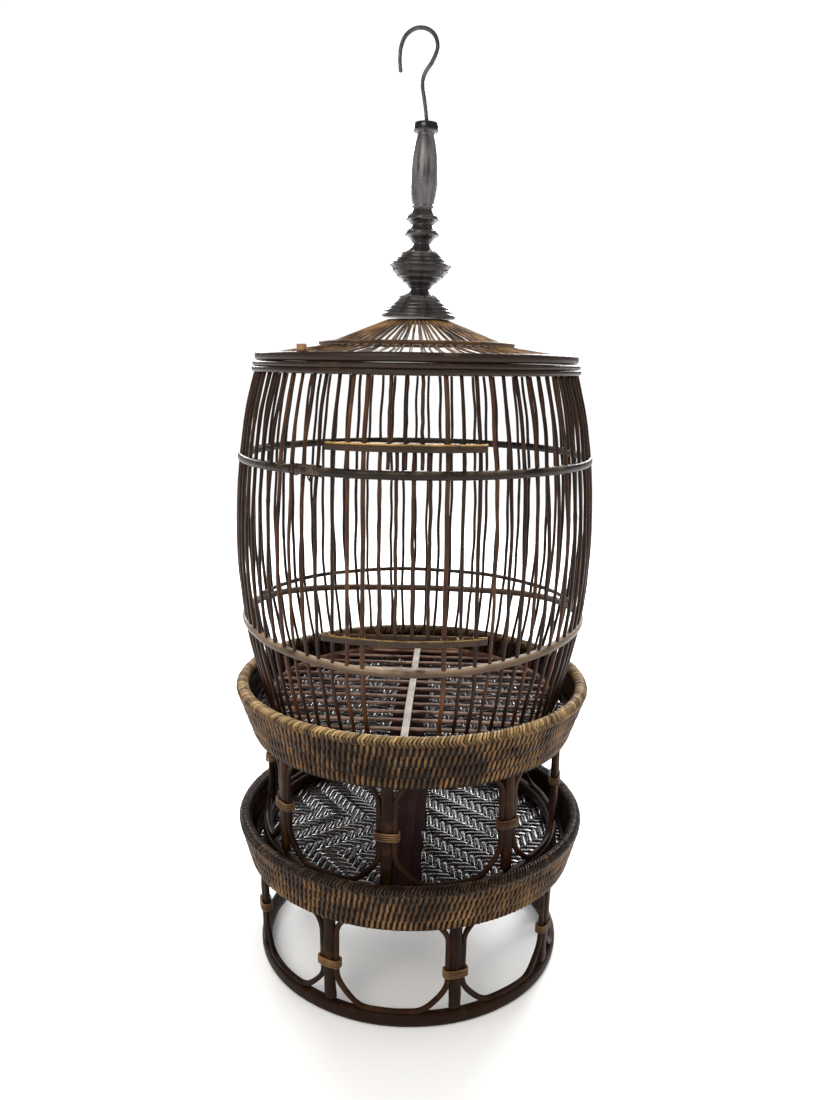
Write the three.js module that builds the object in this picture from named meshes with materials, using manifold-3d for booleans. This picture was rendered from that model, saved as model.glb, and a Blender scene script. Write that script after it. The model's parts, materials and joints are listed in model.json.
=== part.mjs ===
// Bamboo and rattan bird cage on two nested pedestal trays, in millimetres, +Z up.
// The origin is on the floor under the middle of the lower stand, and the cage door faces -Y.
import * as THREE from 'three';
import { mergeVertices } from 'three/addons/utils/BufferGeometryUtils.js';
import Module from 'manifold-3d';

const wasm = await Module();
wasm.setup();

// ---------------------------------------------------------------- driving dimensions

const GAP = 0.3; // clearance between touching pieces
const RING_SIDES = 40; // flats round every hoop and tray
const FLAT_SAG = 0.7; // how far the middle of a flat lies inside its circle, with a margin

// Stands: a foot ring, eight poles with a bent cane loop between each pair, and a woven tray on top.
const LEG_COUNT = 8;
const LEG_PITCH = 360 / LEG_COUNT;
const FOOT_HEIGHT = 14;
const FOOT_WIDTH = 12;
const POLE_WIDTH = 13;
const POLE_DEPTH = 9;
const LOOP_CANE = 5.2;
const LOOP_CORNER = 29;
const LOOP_STEPS = 18; // straight pieces round one loop
const LOOP_SIDES = 6; // flat sides that stand for the loop's round cane
const LOOP_LAP = 9; // how far a loop reaches up behind the tray band
const LOOP_SIDE_GAP = 1.5; // clear space between a loop and the pole beside it
const LOOP_FOOT_GAP = 0.8; // clear space between a loop and the foot ring
const TRAY_WALL = 7;
const TRAY_FLOOR_THICKNESS = 3.2;
const TRAY_DEPTH = 29.7; // from the crest of the rim down to the tray floor
const RIM_RADIUS = 187.3;
const RIM_ROLL = 7;

const LOWER_STAND = {
  name: 'lower',
  base: 0,
  footRadius: 166,
  bandBottom: 112,
  bandRadius: 175.6,
  rimCrest: 161.7,
  firstLeg: 19.3,
};
const LOWER_FLOOR = LOWER_STAND.rimCrest - TRAY_DEPTH;
const UPPER_STAND = {
  name: 'upper',
  base: LOWER_FLOOR + GAP,
  footRadius: 163,
  bandBottom: 253,
  bandRadius: 170,
  rimCrest: 309.2,
  firstLeg: -5.2,
};
const UPPER_FLOOR = UPPER_STAND.rimCrest - TRAY_DEPTH;

// Cage wall: 76 places for bars; four in the middle of the front belong to the door.
const BAR_PLACES = 76;
const BAR_PITCH = 360 / BAR_PLACES;
const BAR_WIDTH = 3.4;
const DOOR_BARS = 4;
const GUIDE_BARS = 3; // straight bars on each side of the door, which its rails slide on
const WALL_PANELS = 4;
const HOLE_PLAY = 0.8; // room round a bar in the hoops, which it passes at a slant
const GROOVE_PLAY = 0.4;

const CAGE_BASE = UPPER_FLOOR + GAP;
const FLOOR_HOOP_RADIUS = 157.5;
const FLOOR_HOOP_WIDTH = 8;
const FLOOR_HOOP_HEIGHT = 11;
const SILL_HOOP = { bottom: 362, height: 7, radius: 179, width: 8, holes: 174.4 };
const BELT_HOOP = { bottom: 538, height: 8.4, radius: 180, width: 8, holes: 176.3 };
const WALL_HOOP = { bottom: 625, height: 10.6, radius: 164.7, width: 10.2 };
const ROOF_HOOP = { bottom: 635.9, height: 8.7, radius: 162.2, width: 9 };
const REAR_HOOP = { bottom: 381, height: 4.5, radius: 173, width: 3.2, sweep: 160 };
const SILL_CHORD = 165; // distance of the sill's straight inner edge from the axis
const SILL_CHORD_STEPS = 8;
const SILL_RISE = { sides: 15.5, back: -7 }; // how the sill hoop leaves the level of the doorway

const BAR_FOOT = { radius: 153.5, bottom: 284.5 };
const BAR_AT_SILL = 174.8;
const BAR_AT_BELLY = { radius: 181.2, height: 458 };
const BAR_AT_BELT = 176.5;
const BAR_AT_SHOULDER = { radius: 170.3, height: 586 };
const BAR_AT_TOP = 160;
const GUIDE_RADIUS = 176;
const BAR_TOP_DEPTH = 2; // how far a bar goes up into the hoop at the top of the wall
const TIE = { width: BAR_WIDTH - 0.4, height: 1.6, inset: 1 }; // strip that ties neighbouring bars

// Roof: straight splints from the hub under the spire, over which the middle hoop lies.
const SPLINT_COUNT = 60;
const SPLINT_WIDTH = 2.3;
const HUB = { inner: 20, radius: 33, bottom: 674.2, height: 3.9 };
const SPLINT_AT_HUB = { radius: HUB.radius - 3, height: 676.4 };
const SPLINT_AT_MIDDLE = { radius: 97, height: 650.0 };
const SPLINT_END = { radius: 156.4, height: 641.6 };
const MIDDLE_HOOP = { radius: 98.4, width: 6, height: 3.4 };

// Cage floor: slats from side to side, with one pale strip laid over them from front to back.
const SLAT_COUNT = 13;
const SLAT_PITCH = 22.5;
const SLAT_WIDTH = 6.5;
const SLAT_THICKNESS = 2.4;
const SLAT_TOP = 289.6;
const STRIP_WIDTH = 8;
const STRIP_THICKNESS = 1.8;
const STRIP_LENGTH = 286;

// Door: two rails joined by four bars. It is drawn a little above its stop on the belt hoop.
const DOOR_CHORD = 161.8; // distance of the rails' straight inner edges from the axis
const TOP_RAIL = { bottom: 561.7, height: 7, radius: 180, halfLength: 70 };
const BOTTOM_RAIL = { bottom: 391.4, height: 6.4, radius: 181, halfLength: 74.5 };
const RAIL_KEY_DEPTH = 3;
const SLIDE_PLAY = 0.6;

// Spire: a turned finial and handle, which lean a little, and an iron hook in the handle's top.
const SPIRE_BASE = 680;
const SPIRE_SIDES = 16;
const SPIRE_OFFSET = 1.5;
const SPIRE_LEAN = 1.5;
const HANDLE_BOTTOM = 103.8;
const HANDLE_TOP = 182;
const SPIGOT = { radius: 4, length: 8 };
const HOOK_WIRE = 3.6;
const HOOK_SOCKET = 14;

const BLOCK = { angle: -38, radius: 156, length: 10, width: 5, height: 6 };

// ---------------------------------------------------------------- helpers

const radians = THREE.MathUtils.degToRad;

// A turned body: the profile is a list of [radius, height], and it closes on itself or on the axis.
function turned(profile, sides = RING_SIDES) {
  const points = profile.map(([radius, height]) => new THREE.Vector2(radius, height));
  return new THREE.LatheGeometry(points, sides).rotateX(Math.PI / 2);
}

function hoop({ radius, width, bottom, height }) {
  return turned([
    [radius - width, bottom],
    [radius, bottom],
    [radius, bottom + height],
    [radius - width, bottom + height],
    [radius - width, bottom],
  ]);
}

function slab(shape, bottom, height) {
  const geometry = new THREE.ExtrudeGeometry(shape, { depth: height, bevelEnabled: false });
  return geometry.translate(0, 0, bottom);
}

// A point at an angle from the door's middle, anticlockwise seen from above.
function around(degrees, radius) {
  const angle = radians(degrees);
  return new THREE.Vector2(radius * Math.sin(angle), -radius * Math.cos(angle));
}

function arcPoints(radius, from, to, steps) {
  return Array.from({ length: steps + 1 }, (_, i) => around(from + ((to - from) * i) / steps, radius));
}

// The outline of a hole through which a square bar passes, longer along the radius if asked.
function slotPath(degrees, innerRadius, outerRadius, width) {
  const half = THREE.MathUtils.radToDeg(width / 2 / outerRadius);
  return [
    around(degrees - half, innerRadius),
    around(degrees + half, innerRadius),
    around(degrees + half, outerRadius),
    around(degrees - half, outerRadius),
  ];
}

// Turns a body drawn at the front, where the radius runs along -Y, to its place round the axis.
function turnTo(geometry, degrees) {
  return geometry.rotateZ(radians(degrees));
}

// A flat stick drawn by its side outline of [radius, height] and given its width across.
function stick(outline, width) {
  const shape = new THREE.Shape(outline.map(([radius, height]) => new THREE.Vector2(radius, height)));
  const geometry = new THREE.ExtrudeGeometry(shape, { depth: width, bevelEnabled: false });
  geometry.translate(0, 0, -width / 2);
  return geometry.rotateX(Math.PI / 2).rotateZ(-Math.PI / 2);
}

function toManifold(geometry) {
  const bare = geometry.index ? geometry.toNonIndexed() : geometry.clone();
  bare.deleteAttribute('normal');
  bare.deleteAttribute('uv');
  const merged = mergeVertices(bare, 1e-4);
  const mesh = new wasm.Mesh({
    numProp: 3,
    vertProperties: new Float32Array(merged.attributes.position.array),
    triVerts: new Uint32Array(merged.index.array),
  });
  return new wasm.Manifold(mesh);
}

function fromManifold(body) {
  const mesh = body.getMesh();
  const geometry = new THREE.BufferGeometry();
  geometry.setAttribute('position', new THREE.BufferAttribute(new Float32Array(mesh.vertProperties), 3));
  geometry.setIndex(new THREE.BufferAttribute(new Uint32Array(mesh.triVerts), 1));
  geometry.computeVertexNormals();
  return geometry;
}

function joined(geometries) {
  return fromManifold(geometries.map(toManifold).reduce((whole, part) => whole.add(part)));
}

function cut(geometry, cutters) {
  const body = toManifold(geometry);
  return fromManifold(cutters.map(toManifold).reduce((whole, part) => whole.subtract(part), body));
}

const cage = new THREE.Group();

const FINISH = {
  darkBamboo: { color: 0x2e1f17, roughness: 0.5 },
  wornBamboo: { color: 0x4a3526, roughness: 0.55 },
  rattan: { color: 0x5b4029, roughness: 0.6 },
  pole: { color: 0x3a2417, roughness: 0.5 },
  lacquer: { color: 0x1c1517, roughness: 0.25 },
  paleStrip: { color: 0xb8b1a8, roughness: 0.6 },
  turnedWood: { color: 0x35302e, roughness: 0.35 },
  iron: { color: 0x4a474a, roughness: 0.45, metalness: 0.9 },
  bareWood: { color: 0xa07f5a, roughness: 0.7 },
};

function add(name, geometry, finish, parent = cage) {
  const { color, roughness, metalness = 0 } = FINISH[finish];
  const mesh = new THREE.Mesh(geometry, new THREE.MeshStandardMaterial({ color, roughness, metalness }));
  mesh.name = name;
  parent.add(mesh);
  return mesh;
}

// ---------------------------------------------------------------- stands

// Radius of the tray band's inner face, which slopes outwards from the band's bottom to the rim.
function bandInnerRadius(stand, height) {
  const rise = (height - stand.bandBottom) / (stand.rimCrest - RIM_ROLL - stand.bandBottom);
  return THREE.MathUtils.lerp(stand.bandRadius, RIM_RADIUS, rise) - TRAY_WALL;
}

function poleRadius(stand, height) {
  const bottom = stand.footRadius - FOOT_WIDTH / 2;
  const top = stand.bandRadius - TRAY_WALL - GAP - FLAT_SAG - POLE_DEPTH / 2;
  const rise = (height - stand.base) / (stand.bandBottom - stand.base);
  return THREE.MathUtils.lerp(bottom, top, Math.min(rise, 1));
}

function footRing({ base, footRadius }) {
  const inner = footRadius - FOOT_WIDTH;
  const bevel = 2.5;
  return turned([
    [inner, base],
    [footRadius - bevel, base],
    [footRadius, base + bevel],
    [footRadius, base + FOOT_HEIGHT - bevel],
    [footRadius - bevel, base + FOOT_HEIGHT],
    [inner, base + FOOT_HEIGHT],
    [inner, base],
  ]);
}

function pole(stand) {
  const bottom = stand.base + FOOT_HEIGHT + GAP;
  const top = stand.rimCrest - TRAY_DEPTH - TRAY_FLOOR_THICKNESS - GAP;
  const stations = [bottom, stand.bandBottom, top];
  const outer = stations.map((height) => [poleRadius(stand, height) + POLE_DEPTH / 2, height]);
  const inner = stations.map((height) => [poleRadius(stand, height) - POLE_DEPTH / 2, height]).reverse();
  return stick([...outer, ...inner], POLE_WIDTH);
}

// A closed loop of cane that fills the bay between two poles, bent round to the stand's curve.
function bentLoop(stand, middle) {
  const bottom = stand.base + FOOT_HEIGHT + LOOP_FOOT_GAP + LOOP_CANE / 2;
  const top = stand.bandBottom + LOOP_LAP;
  const mean = (stand.footRadius - FOOT_WIDTH / 2 + stand.bandRadius - TRAY_WALL - POLE_DEPTH / 2) / 2;
  const bay = 2 * mean * Math.sin(radians(LEG_PITCH / 2));
  const halfWidth = (bay - POLE_WIDTH - LOOP_CANE) / 2 - LOOP_SIDE_GAP;
  const outline = new THREE.Shape();
  outline.moveTo(0, bottom);
  outline.lineTo(halfWidth - LOOP_CORNER, bottom);
  outline.absarc(halfWidth - LOOP_CORNER, bottom + LOOP_CORNER, LOOP_CORNER, -Math.PI / 2, 0);
  outline.lineTo(halfWidth, top - LOOP_CORNER);
  outline.absarc(halfWidth - LOOP_CORNER, top - LOOP_CORNER, LOOP_CORNER, 0, Math.PI / 2);
  outline.lineTo(LOOP_CORNER - halfWidth, top);
  outline.absarc(LOOP_CORNER - halfWidth, top - LOOP_CORNER, LOOP_CORNER, Math.PI / 2, Math.PI);
  outline.lineTo(-halfWidth, bottom + LOOP_CORNER);
  outline.absarc(LOOP_CORNER - halfWidth, bottom + LOOP_CORNER, LOOP_CORNER, Math.PI, 1.5 * Math.PI);
  outline.closePath();
  const onStand = outline.getSpacedPoints(LOOP_STEPS).slice(0, -1).map(({ x, y }) => {
    const radius = poleRadius(stand, y);
    return new THREE.Vector3(radius * Math.sin(x / radius), -radius * Math.cos(x / radius), y);
  });
  const path = new THREE.CatmullRomCurve3(onStand, true);
  return turnTo(new THREE.TubeGeometry(path, LOOP_STEPS, LOOP_CANE / 2, LOOP_SIDES, true), middle);
}

// The woven wall of the tray, with its braided rim rolled over the top.
function trayBand(stand) {
  const { bandBottom, bandRadius, rimCrest } = stand;
  const shoulder = rimCrest - RIM_ROLL;
  const innerTop = RIM_RADIUS - 2 * RIM_ROLL;
  return turned([
    [bandRadius - TRAY_WALL, bandBottom],
    [bandRadius, bandBottom],
    [RIM_RADIUS, shoulder],
    [RIM_RADIUS - 1.6, shoulder + 4.6],
    [RIM_RADIUS - RIM_ROLL, rimCrest],
    [innerTop + 1.6, shoulder + 4.6],
    [innerTop, shoulder],
    [bandInnerRadius(stand, shoulder - RIM_ROLL), shoulder - RIM_ROLL],
    [bandRadius - TRAY_WALL, bandBottom],
  ]);
}

function trayFloor(stand) {
  const top = stand.rimCrest - TRAY_DEPTH;
  const bottom = top - TRAY_FLOOR_THICKNESS;
  const edge = bandInnerRadius(stand, bottom) - GAP - FLAT_SAG;
  return turned([[0, bottom], [edge, bottom], [edge, top], [0, top]]);
}

function buildStand(stand) {
  add(`${stand.name}_foot_ring`, footRing(stand), 'pole');
  for (let i = 0; i < LEG_COUNT; i += 1) {
    const angle = stand.firstLeg + i * LEG_PITCH;
    add(`${stand.name}_pole_${i + 1}`, turnTo(pole(stand), angle), 'pole');
    add(`${stand.name}_cane_loop_${i + 1}`, bentLoop(stand, angle + LEG_PITCH / 2), 'pole');
  }
  add(`${stand.name}_tray_band`, trayBand(stand), 'rattan');
  add(`${stand.name}_tray_floor`, trayFloor(stand), 'lacquer');
}

// ---------------------------------------------------------------- cage wall

const FRONT_GAP = DOOR_BARS / 2; // places on each side of the middle that the door takes

function placeAngle(place) {
  return (place + 0.5) * BAR_PITCH;
}

function isGuide(place) {
  const fromMiddle = Math.min(place, BAR_PLACES - 1 - place);
  return fromMiddle < FRONT_GAP + GUIDE_BARS;
}

const SILL_MIDDLE = SILL_HOOP.bottom + SILL_HOOP.height / 2;
const BELT_TOP = BELT_HOOP.bottom + BELT_HOOP.height;
const BAR_TOP = WALL_HOOP.bottom + BAR_TOP_DEPTH;

// The middle line of a wall bar as [radius, height], from its foot to its top.
// How far the sill hoop stands above its level at the doorway, at an angle from the door's middle.
function sillRise(degrees) {
  const angle = radians(degrees);
  return SILL_RISE.sides * Math.sin(angle) ** 2 + (SILL_RISE.back * (1 - Math.cos(angle))) / 2;
}

function barLine(guide, degrees) {
  const straight = [[GUIDE_RADIUS, SILL_HOOP.bottom], [GUIDE_RADIUS, BELT_TOP]];
  const bowed = [
    [BAR_AT_SILL, SILL_MIDDLE + sillRise(degrees)],
    [BAR_AT_BELLY.radius, BAR_AT_BELLY.height],
    [BAR_AT_BELT, BELT_HOOP.bottom + BELT_HOOP.height / 2],
  ];
  return [
    [BAR_FOOT.radius, BAR_FOOT.bottom],
    ...(guide ? straight : bowed),
    [BAR_AT_SHOULDER.radius, BAR_AT_SHOULDER.height],
    [BAR_AT_TOP, BAR_TOP],
  ];
}

function barFromLine(line) {
  const half = BAR_WIDTH / 2;
  const outer = line.map(([radius, height]) => [radius + half, height]);
  const inner = line.map(([radius, height]) => [radius - half, height]).reverse();
  return stick([...outer, ...inner], BAR_WIDTH);
}

// A thin arc that ties the ends of neighbouring bars, hidden in the groove of a hoop.
function tieArc(radius, from, to, bottom) {
  const steps = Math.max(2, Math.round((to - from) / 8));
  const outer = arcPoints(radius + TIE.width / 2, from, to, steps);
  const inner = arcPoints(radius - TIE.width / 2, from, to, steps).reverse();
  return slab(new THREE.Shape([...outer, ...inner]), bottom, TIE.height);
}

function wallPanel(firstPlace, lastPlace) {
  const bars = [];
  for (let place = firstPlace; place <= lastPlace; place += 1) {
    const line = barLine(isGuide(place), placeAngle(place));
    bars.push(turnTo(barFromLine(line), placeAngle(place)));
  }
  const from = placeAngle(firstPlace) - BAR_PITCH / 4;
  const to = placeAngle(lastPlace) + BAR_PITCH / 4;
  bars.push(tieArc(BAR_FOOT.radius, from, to, BAR_FOOT.bottom + TIE.inset - TIE.height));
  return joined(bars);
}

// The short bars over the door stand between the door's own bars and end on the belt hoop.
const OVER_DOOR_ANGLES = [-BAR_PITCH, 0, BAR_PITCH];

function barsOverDoor() {
  const line = [[GUIDE_RADIUS, BELT_TOP + GAP], ...barLine(true, 0).slice(-2)];
  const bars = OVER_DOOR_ANGLES.map((angle) => turnTo(barFromLine(line), angle));
  const reach = BAR_PITCH * 1.25;
  bars.push(tieArc(BAR_AT_TOP, -reach, reach, BAR_TOP - TIE.inset));
  return joined(bars);
}

// A drilled hoop, bored for every bar that passes through it.
function drilledHoop({ radius, width, bottom, height, holes }, innerEdge, doorHoles) {
  const shape = new THREE.Shape(arcPoints(radius, 0, 360, RING_SIDES).slice(0, -1));
  shape.holes.push(new THREE.Path(innerEdge ?? arcPoints(radius - width, 0, 360, RING_SIDES).slice(0, -1)));
  for (let place = 0; place < BAR_PLACES; place += 1) {
    const isDoor = place < FRONT_GAP || place >= BAR_PLACES - FRONT_GAP;
    const middle = isGuide(place) ? GUIDE_RADIUS : holes;
    const reach = BAR_WIDTH / 2 + (isGuide(place) ? GROOVE_PLAY : HOLE_PLAY);
    if (!isDoor || doorHoles) {
      const hole = slotPath(placeAngle(place), middle - reach, middle + reach, 2 * reach);
      shape.holes.push(new THREE.Path(hole));
    }
  }
  return slab(shape, bottom, height);
}

// The sill hoop is wider over the doorway, where its inner edge runs straight.
function sillInnerEdge() {
  const inner = SILL_HOOP.radius - SILL_HOOP.width;
  const half = THREE.MathUtils.radToDeg(Math.acos(SILL_CHORD / inner));
  const bend = arcPoints(inner, half, 360 - half, RING_SIDES);
  const end = bend[bend.length - 1];
  const chord = Array.from({ length: SILL_CHORD_STEPS - 1 }, (_, i) => {
    const share = (i + 1) / SILL_CHORD_STEPS;
    return new THREE.Vector2(end.x + (bend[0].x - end.x) * share, end.y);
  });
  return [...bend, ...chord];
}

// The sill hoop isn't flat: it was drawn up at the sides when the bars were bent.
function sillHoop() {
  const hoop = drilledHoop(SILL_HOOP, sillInnerEdge(), false);
  const points = hoop.attributes.position;
  for (let i = 0; i < points.count; i += 1) {
    const degrees = THREE.MathUtils.radToDeg(Math.atan2(points.getX(i), -points.getY(i)));
    points.setZ(i, points.getZ(i) + sillRise(degrees));
  }
  return hoop;
}

function wallHoop() {
  const { bottom, height, radius, width } = WALL_HOOP;
  const inner = radius - width;
  const half = BAR_WIDTH / 2 + GROOVE_PLAY + HOLE_PLAY;
  const roof = bottom + BAR_TOP_DEPTH + TIE.height - TIE.inset + GAP;
  return turned([
    [inner, bottom],
    [BAR_AT_TOP - half, bottom],
    [BAR_AT_TOP - half, roof],
    [BAR_AT_TOP + half, roof],
    [BAR_AT_TOP + half, bottom],
    [radius, bottom],
    [radius, bottom + height],
    [inner, bottom + height],
    [inner, bottom],
  ]);
}

function floorHoop() {
  const inner = FLOOR_HOOP_RADIUS - FLOOR_HOOP_WIDTH;
  const top = CAGE_BASE + FLOOR_HOOP_HEIGHT;
  const groove = BAR_FOOT.bottom + TIE.inset - TIE.height - GAP;
  const innerLip = BAR_FOOT.radius - BAR_WIDTH / 2 - GROOVE_PLAY;
  const outerLip = BAR_FOOT.radius + BAR_WIDTH / 2 + GROOVE_PLAY;
  return turned([
    [inner, CAGE_BASE],
    [FLOOR_HOOP_RADIUS, CAGE_BASE],
    [FLOOR_HOOP_RADIUS, top - 2],
    [outerLip + 1.8, top - 2],
    [outerLip, groove],
    [innerLip, groove],
    [innerLip, top],
    [inner, top],
    [inner, CAGE_BASE],
  ]);
}

function rearHoop() {
  const { bottom, height, radius, width, sweep } = REAR_HOOP;
  const from = 180 - sweep / 2;
  const to = 180 + sweep / 2;
  const outer = arcPoints(radius, from, to, 24);
  const inner = arcPoints(radius - width, from, to, 24).reverse();
  return slab(new THREE.Shape([...outer, ...inner]), bottom, height);
}

// ---------------------------------------------------------------- cage floor

function floorSlats() {
  const inner = FLOOR_HOOP_RADIUS - FLOOR_HOOP_WIDTH - GAP;
  const slats = [];
  for (let i = 0; i < SLAT_COUNT; i += 1) {
    const y = (i - (SLAT_COUNT - 1) / 2) * SLAT_PITCH;
    const farEdge = Math.abs(y) + SLAT_WIDTH / 2;
    const length = 2 * Math.sqrt(inner * inner - farEdge * farEdge) - 2;
    const slat = new THREE.BoxGeometry(length, SLAT_WIDTH, SLAT_THICKNESS);
    slats.push(slat.translate(0, y, SLAT_TOP - SLAT_THICKNESS / 2));
  }
  const batten = new THREE.BoxGeometry(SLAT_WIDTH, (SLAT_COUNT - 1) * SLAT_PITCH, SLAT_THICKNESS);
  slats.push(batten.translate(0, 0, SLAT_TOP - SLAT_THICKNESS * 1.4));
  return joined(slats);
}

function floorStrip() {
  const strip = new THREE.BoxGeometry(STRIP_WIDTH, STRIP_LENGTH, STRIP_THICKNESS);
  return strip.translate(0, 0, SLAT_TOP + GAP + STRIP_THICKNESS / 2);
}

// ---------------------------------------------------------------- roof

function splint() {
  const half = SPLINT_WIDTH / 2;
  const line = [
    [SPLINT_AT_HUB.radius, SPLINT_AT_HUB.height],
    [SPLINT_AT_MIDDLE.radius, SPLINT_AT_MIDDLE.height],
    [SPLINT_END.radius, SPLINT_END.height],
  ];
  const above = line.map(([radius, height]) => [radius, height + half]).reverse();
  const below = line.map(([radius, height]) => [radius, height - half]);
  return stick([...below, ...above], SPLINT_WIDTH);
}

function roofSplints() {
  const hub = hoop({ ...HUB, width: HUB.radius - HUB.inner });
  const pieces = [hub];
  for (let i = 0; i < SPLINT_COUNT; i += 1) {
    pieces.push(turnTo(splint(), (i * 360) / SPLINT_COUNT));
  }
  return joined(pieces);
}

// The upper hoop has a groove round its inner face that takes the splints' ends.
function roofHoop() {
  const { bottom, height, radius, width } = ROOF_HOOP;
  const inner = radius - width;
  const half = SPLINT_WIDTH / 2 + 2 * GROOVE_PLAY;
  const groove = SPLINT_END.radius + GAP + GROOVE_PLAY;
  return turned([
    [inner, bottom],
    [radius, bottom],
    [radius, bottom + height],
    [inner, bottom + height],
    [inner, SPLINT_END.height + half],
    [groove, SPLINT_END.height + half],
    [groove, SPLINT_END.height - half],
    [inner, SPLINT_END.height - half],
    [inner, bottom],
  ]);
}

function middleHoop() {
  const { radius, width, height } = MIDDLE_HOOP;
  const inner = radius - width;
  const fall = SPLINT_AT_HUB.height - SPLINT_AT_MIDDLE.height;
  const slope = fall / (SPLINT_AT_MIDDLE.radius - SPLINT_AT_HUB.radius);
  const onSplints = SPLINT_AT_MIDDLE.height + SPLINT_WIDTH / 2 + GAP;
  return turned([
    [inner, onSplints + slope * (SPLINT_AT_MIDDLE.radius - inner)],
    [radius, onSplints],
    [radius, onSplints + height],
    [inner + 1, onSplints + height + 1.2],
    [inner, onSplints + slope * (SPLINT_AT_MIDDLE.radius - inner)],
  ]);
}

function roofBlock() {
  const block = new THREE.BoxGeometry(BLOCK.length, BLOCK.width, BLOCK.height);
  const top = ROOF_HOOP.bottom + ROOF_HOOP.height;
  block.translate(0, -BLOCK.radius, top + GAP + BLOCK.height / 2);
  return turnTo(block, BLOCK.angle);
}

// ---------------------------------------------------------------- door

// A rail is a slice of a round plate: curved outside, straight inside and cut square at its ends.
function railShape({ radius, halfLength }) {
  const end = THREE.MathUtils.radToDeg(Math.asin(halfLength / radius));
  const outer = arcPoints(radius, -end, end, 12);
  outer.push(new THREE.Vector2(halfLength, -DOOR_CHORD));
  outer.push(new THREE.Vector2(-halfLength, -DOOR_CHORD));
  return new THREE.Shape(outer);
}

const DOOR_ANGLES = Array.from({ length: DOOR_BARS }, (_, i) => (i - (DOOR_BARS - 1) / 2) * BAR_PITCH);
const GUIDE_ANGLES = Array.from({ length: GUIDE_BARS }, (_, i) => (FRONT_GAP + 0.5 + i) * BAR_PITCH);

function radialCutter(angle, innerRadius, outerRadius, width, bottom, height) {
  return slab(new THREE.Shape(slotPath(angle, innerRadius, outerRadius, width)), bottom, height);
}

// The top rail is slotted from behind, so that it can rise past the bars that lean inwards above it.
function topRail() {
  const { bottom, height } = TOP_RAIL;
  const body = slab(railShape(TOP_RAIL), bottom, height);
  const slotWidth = BAR_WIDTH + 2 * SLIDE_PLAY;
  const slotEnd = GUIDE_RADIUS + BAR_WIDTH / 2 + SLIDE_PLAY;
  const leaning = [...OVER_DOOR_ANGLES, ...GUIDE_ANGLES, ...GUIDE_ANGLES.map((angle) => -angle)];
  const slotStart = DOOR_CHORD - 20;
  const slots = leaning.map((angle) =>
    radialCutter(angle, slotStart, slotEnd, slotWidth, bottom - 1, height + 2),
  );
  const half = BAR_WIDTH / 2 + GAP;
  const depth = RAIL_KEY_DEPTH + 1;
  const sockets = DOOR_ANGLES.map((angle) =>
    radialCutter(angle, GUIDE_RADIUS - half, GUIDE_RADIUS + half, 2 * half, bottom - 1, depth),
  );
  return cut(body, [...slots, ...sockets]);
}

// The bottom rail slides on the straight guide bars, and the door's bars stand in it.
function bottomRail() {
  const { bottom, height } = BOTTOM_RAIL;
  const body = slab(railShape(BOTTOM_RAIL), bottom, height);
  const reach = BAR_WIDTH / 2 + SLIDE_PLAY;
  const guides = [...GUIDE_ANGLES, ...GUIDE_ANGLES.map((angle) => -angle)].map((angle) =>
    radialCutter(angle, GUIDE_RADIUS - reach, GUIDE_RADIUS + reach, 2 * reach, bottom - 1, height + 2),
  );
  const bars = DOOR_ANGLES.map((angle) => doorBar(angle, bottom + height - RAIL_KEY_DEPTH));
  return joined([cut(body, guides), ...bars]);
}

function doorBar(angle, from) {
  const to = TOP_RAIL.bottom + RAIL_KEY_DEPTH - GAP;
  const bar = new THREE.BoxGeometry(BAR_WIDTH, BAR_WIDTH, to - from);
  return turnTo(bar.translate(0, -GUIDE_RADIUS, (from + to) / 2), angle);
}

// ---------------------------------------------------------------- spire and hook

// Turned profiles as [radius, height above the spire's base].
function finial() {
  const spigotTop = HANDLE_BOTTOM - GAP + SPIGOT.length;
  return turned([
    [0, -0.6],
    [35.4, -0.6],
    [37.1, 1.4],
    [35.6, 4.2],
    [30.8, 8.2],
    [25, 13.8],
    [20.2, 19],
    [10, 26.5],
    [15, 33.3],
    [22.2, 39],
    [28.4, 45.7],
    [30.6, 50],
    [24.4, 55.5],
    [19.6, 61],
    [8.8, 69.6],
    [17, 79.8],
    [10.8, 88.2],
    [16.6, 93.8],
    [10.4, 101.5],
    [8.4, HANDLE_BOTTOM - GAP],
    [SPIGOT.radius, HANDLE_BOTTOM - GAP],
    [SPIGOT.radius, spigotTop],
    [0, spigotTop],
  ], SPIRE_SIDES);
}

function handle() {
  const socket = SPIGOT.radius + GAP;
  const bore = HOOK_WIRE / 2 + 0.5;
  return turned([
    [0, HANDLE_BOTTOM + SPIGOT.length + GAP],
    [socket, HANDLE_BOTTOM + SPIGOT.length + GAP],
    [socket, HANDLE_BOTTOM],
    [10.1, HANDLE_BOTTOM],
    [11.9, HANDLE_BOTTOM + 14],
    [13.6, HANDLE_BOTTOM + 33],
    [11.9, HANDLE_BOTTOM + 55],
    [9.1, HANDLE_BOTTOM + 67],
    [12.1, HANDLE_BOTTOM + 71],
    [12.3, HANDLE_TOP],
    [bore, HANDLE_TOP],
    [bore, HANDLE_TOP - HOOK_SOCKET],
    [0, HANDLE_TOP - HOOK_SOCKET],
  ], SPIRE_SIDES);
}

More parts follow.
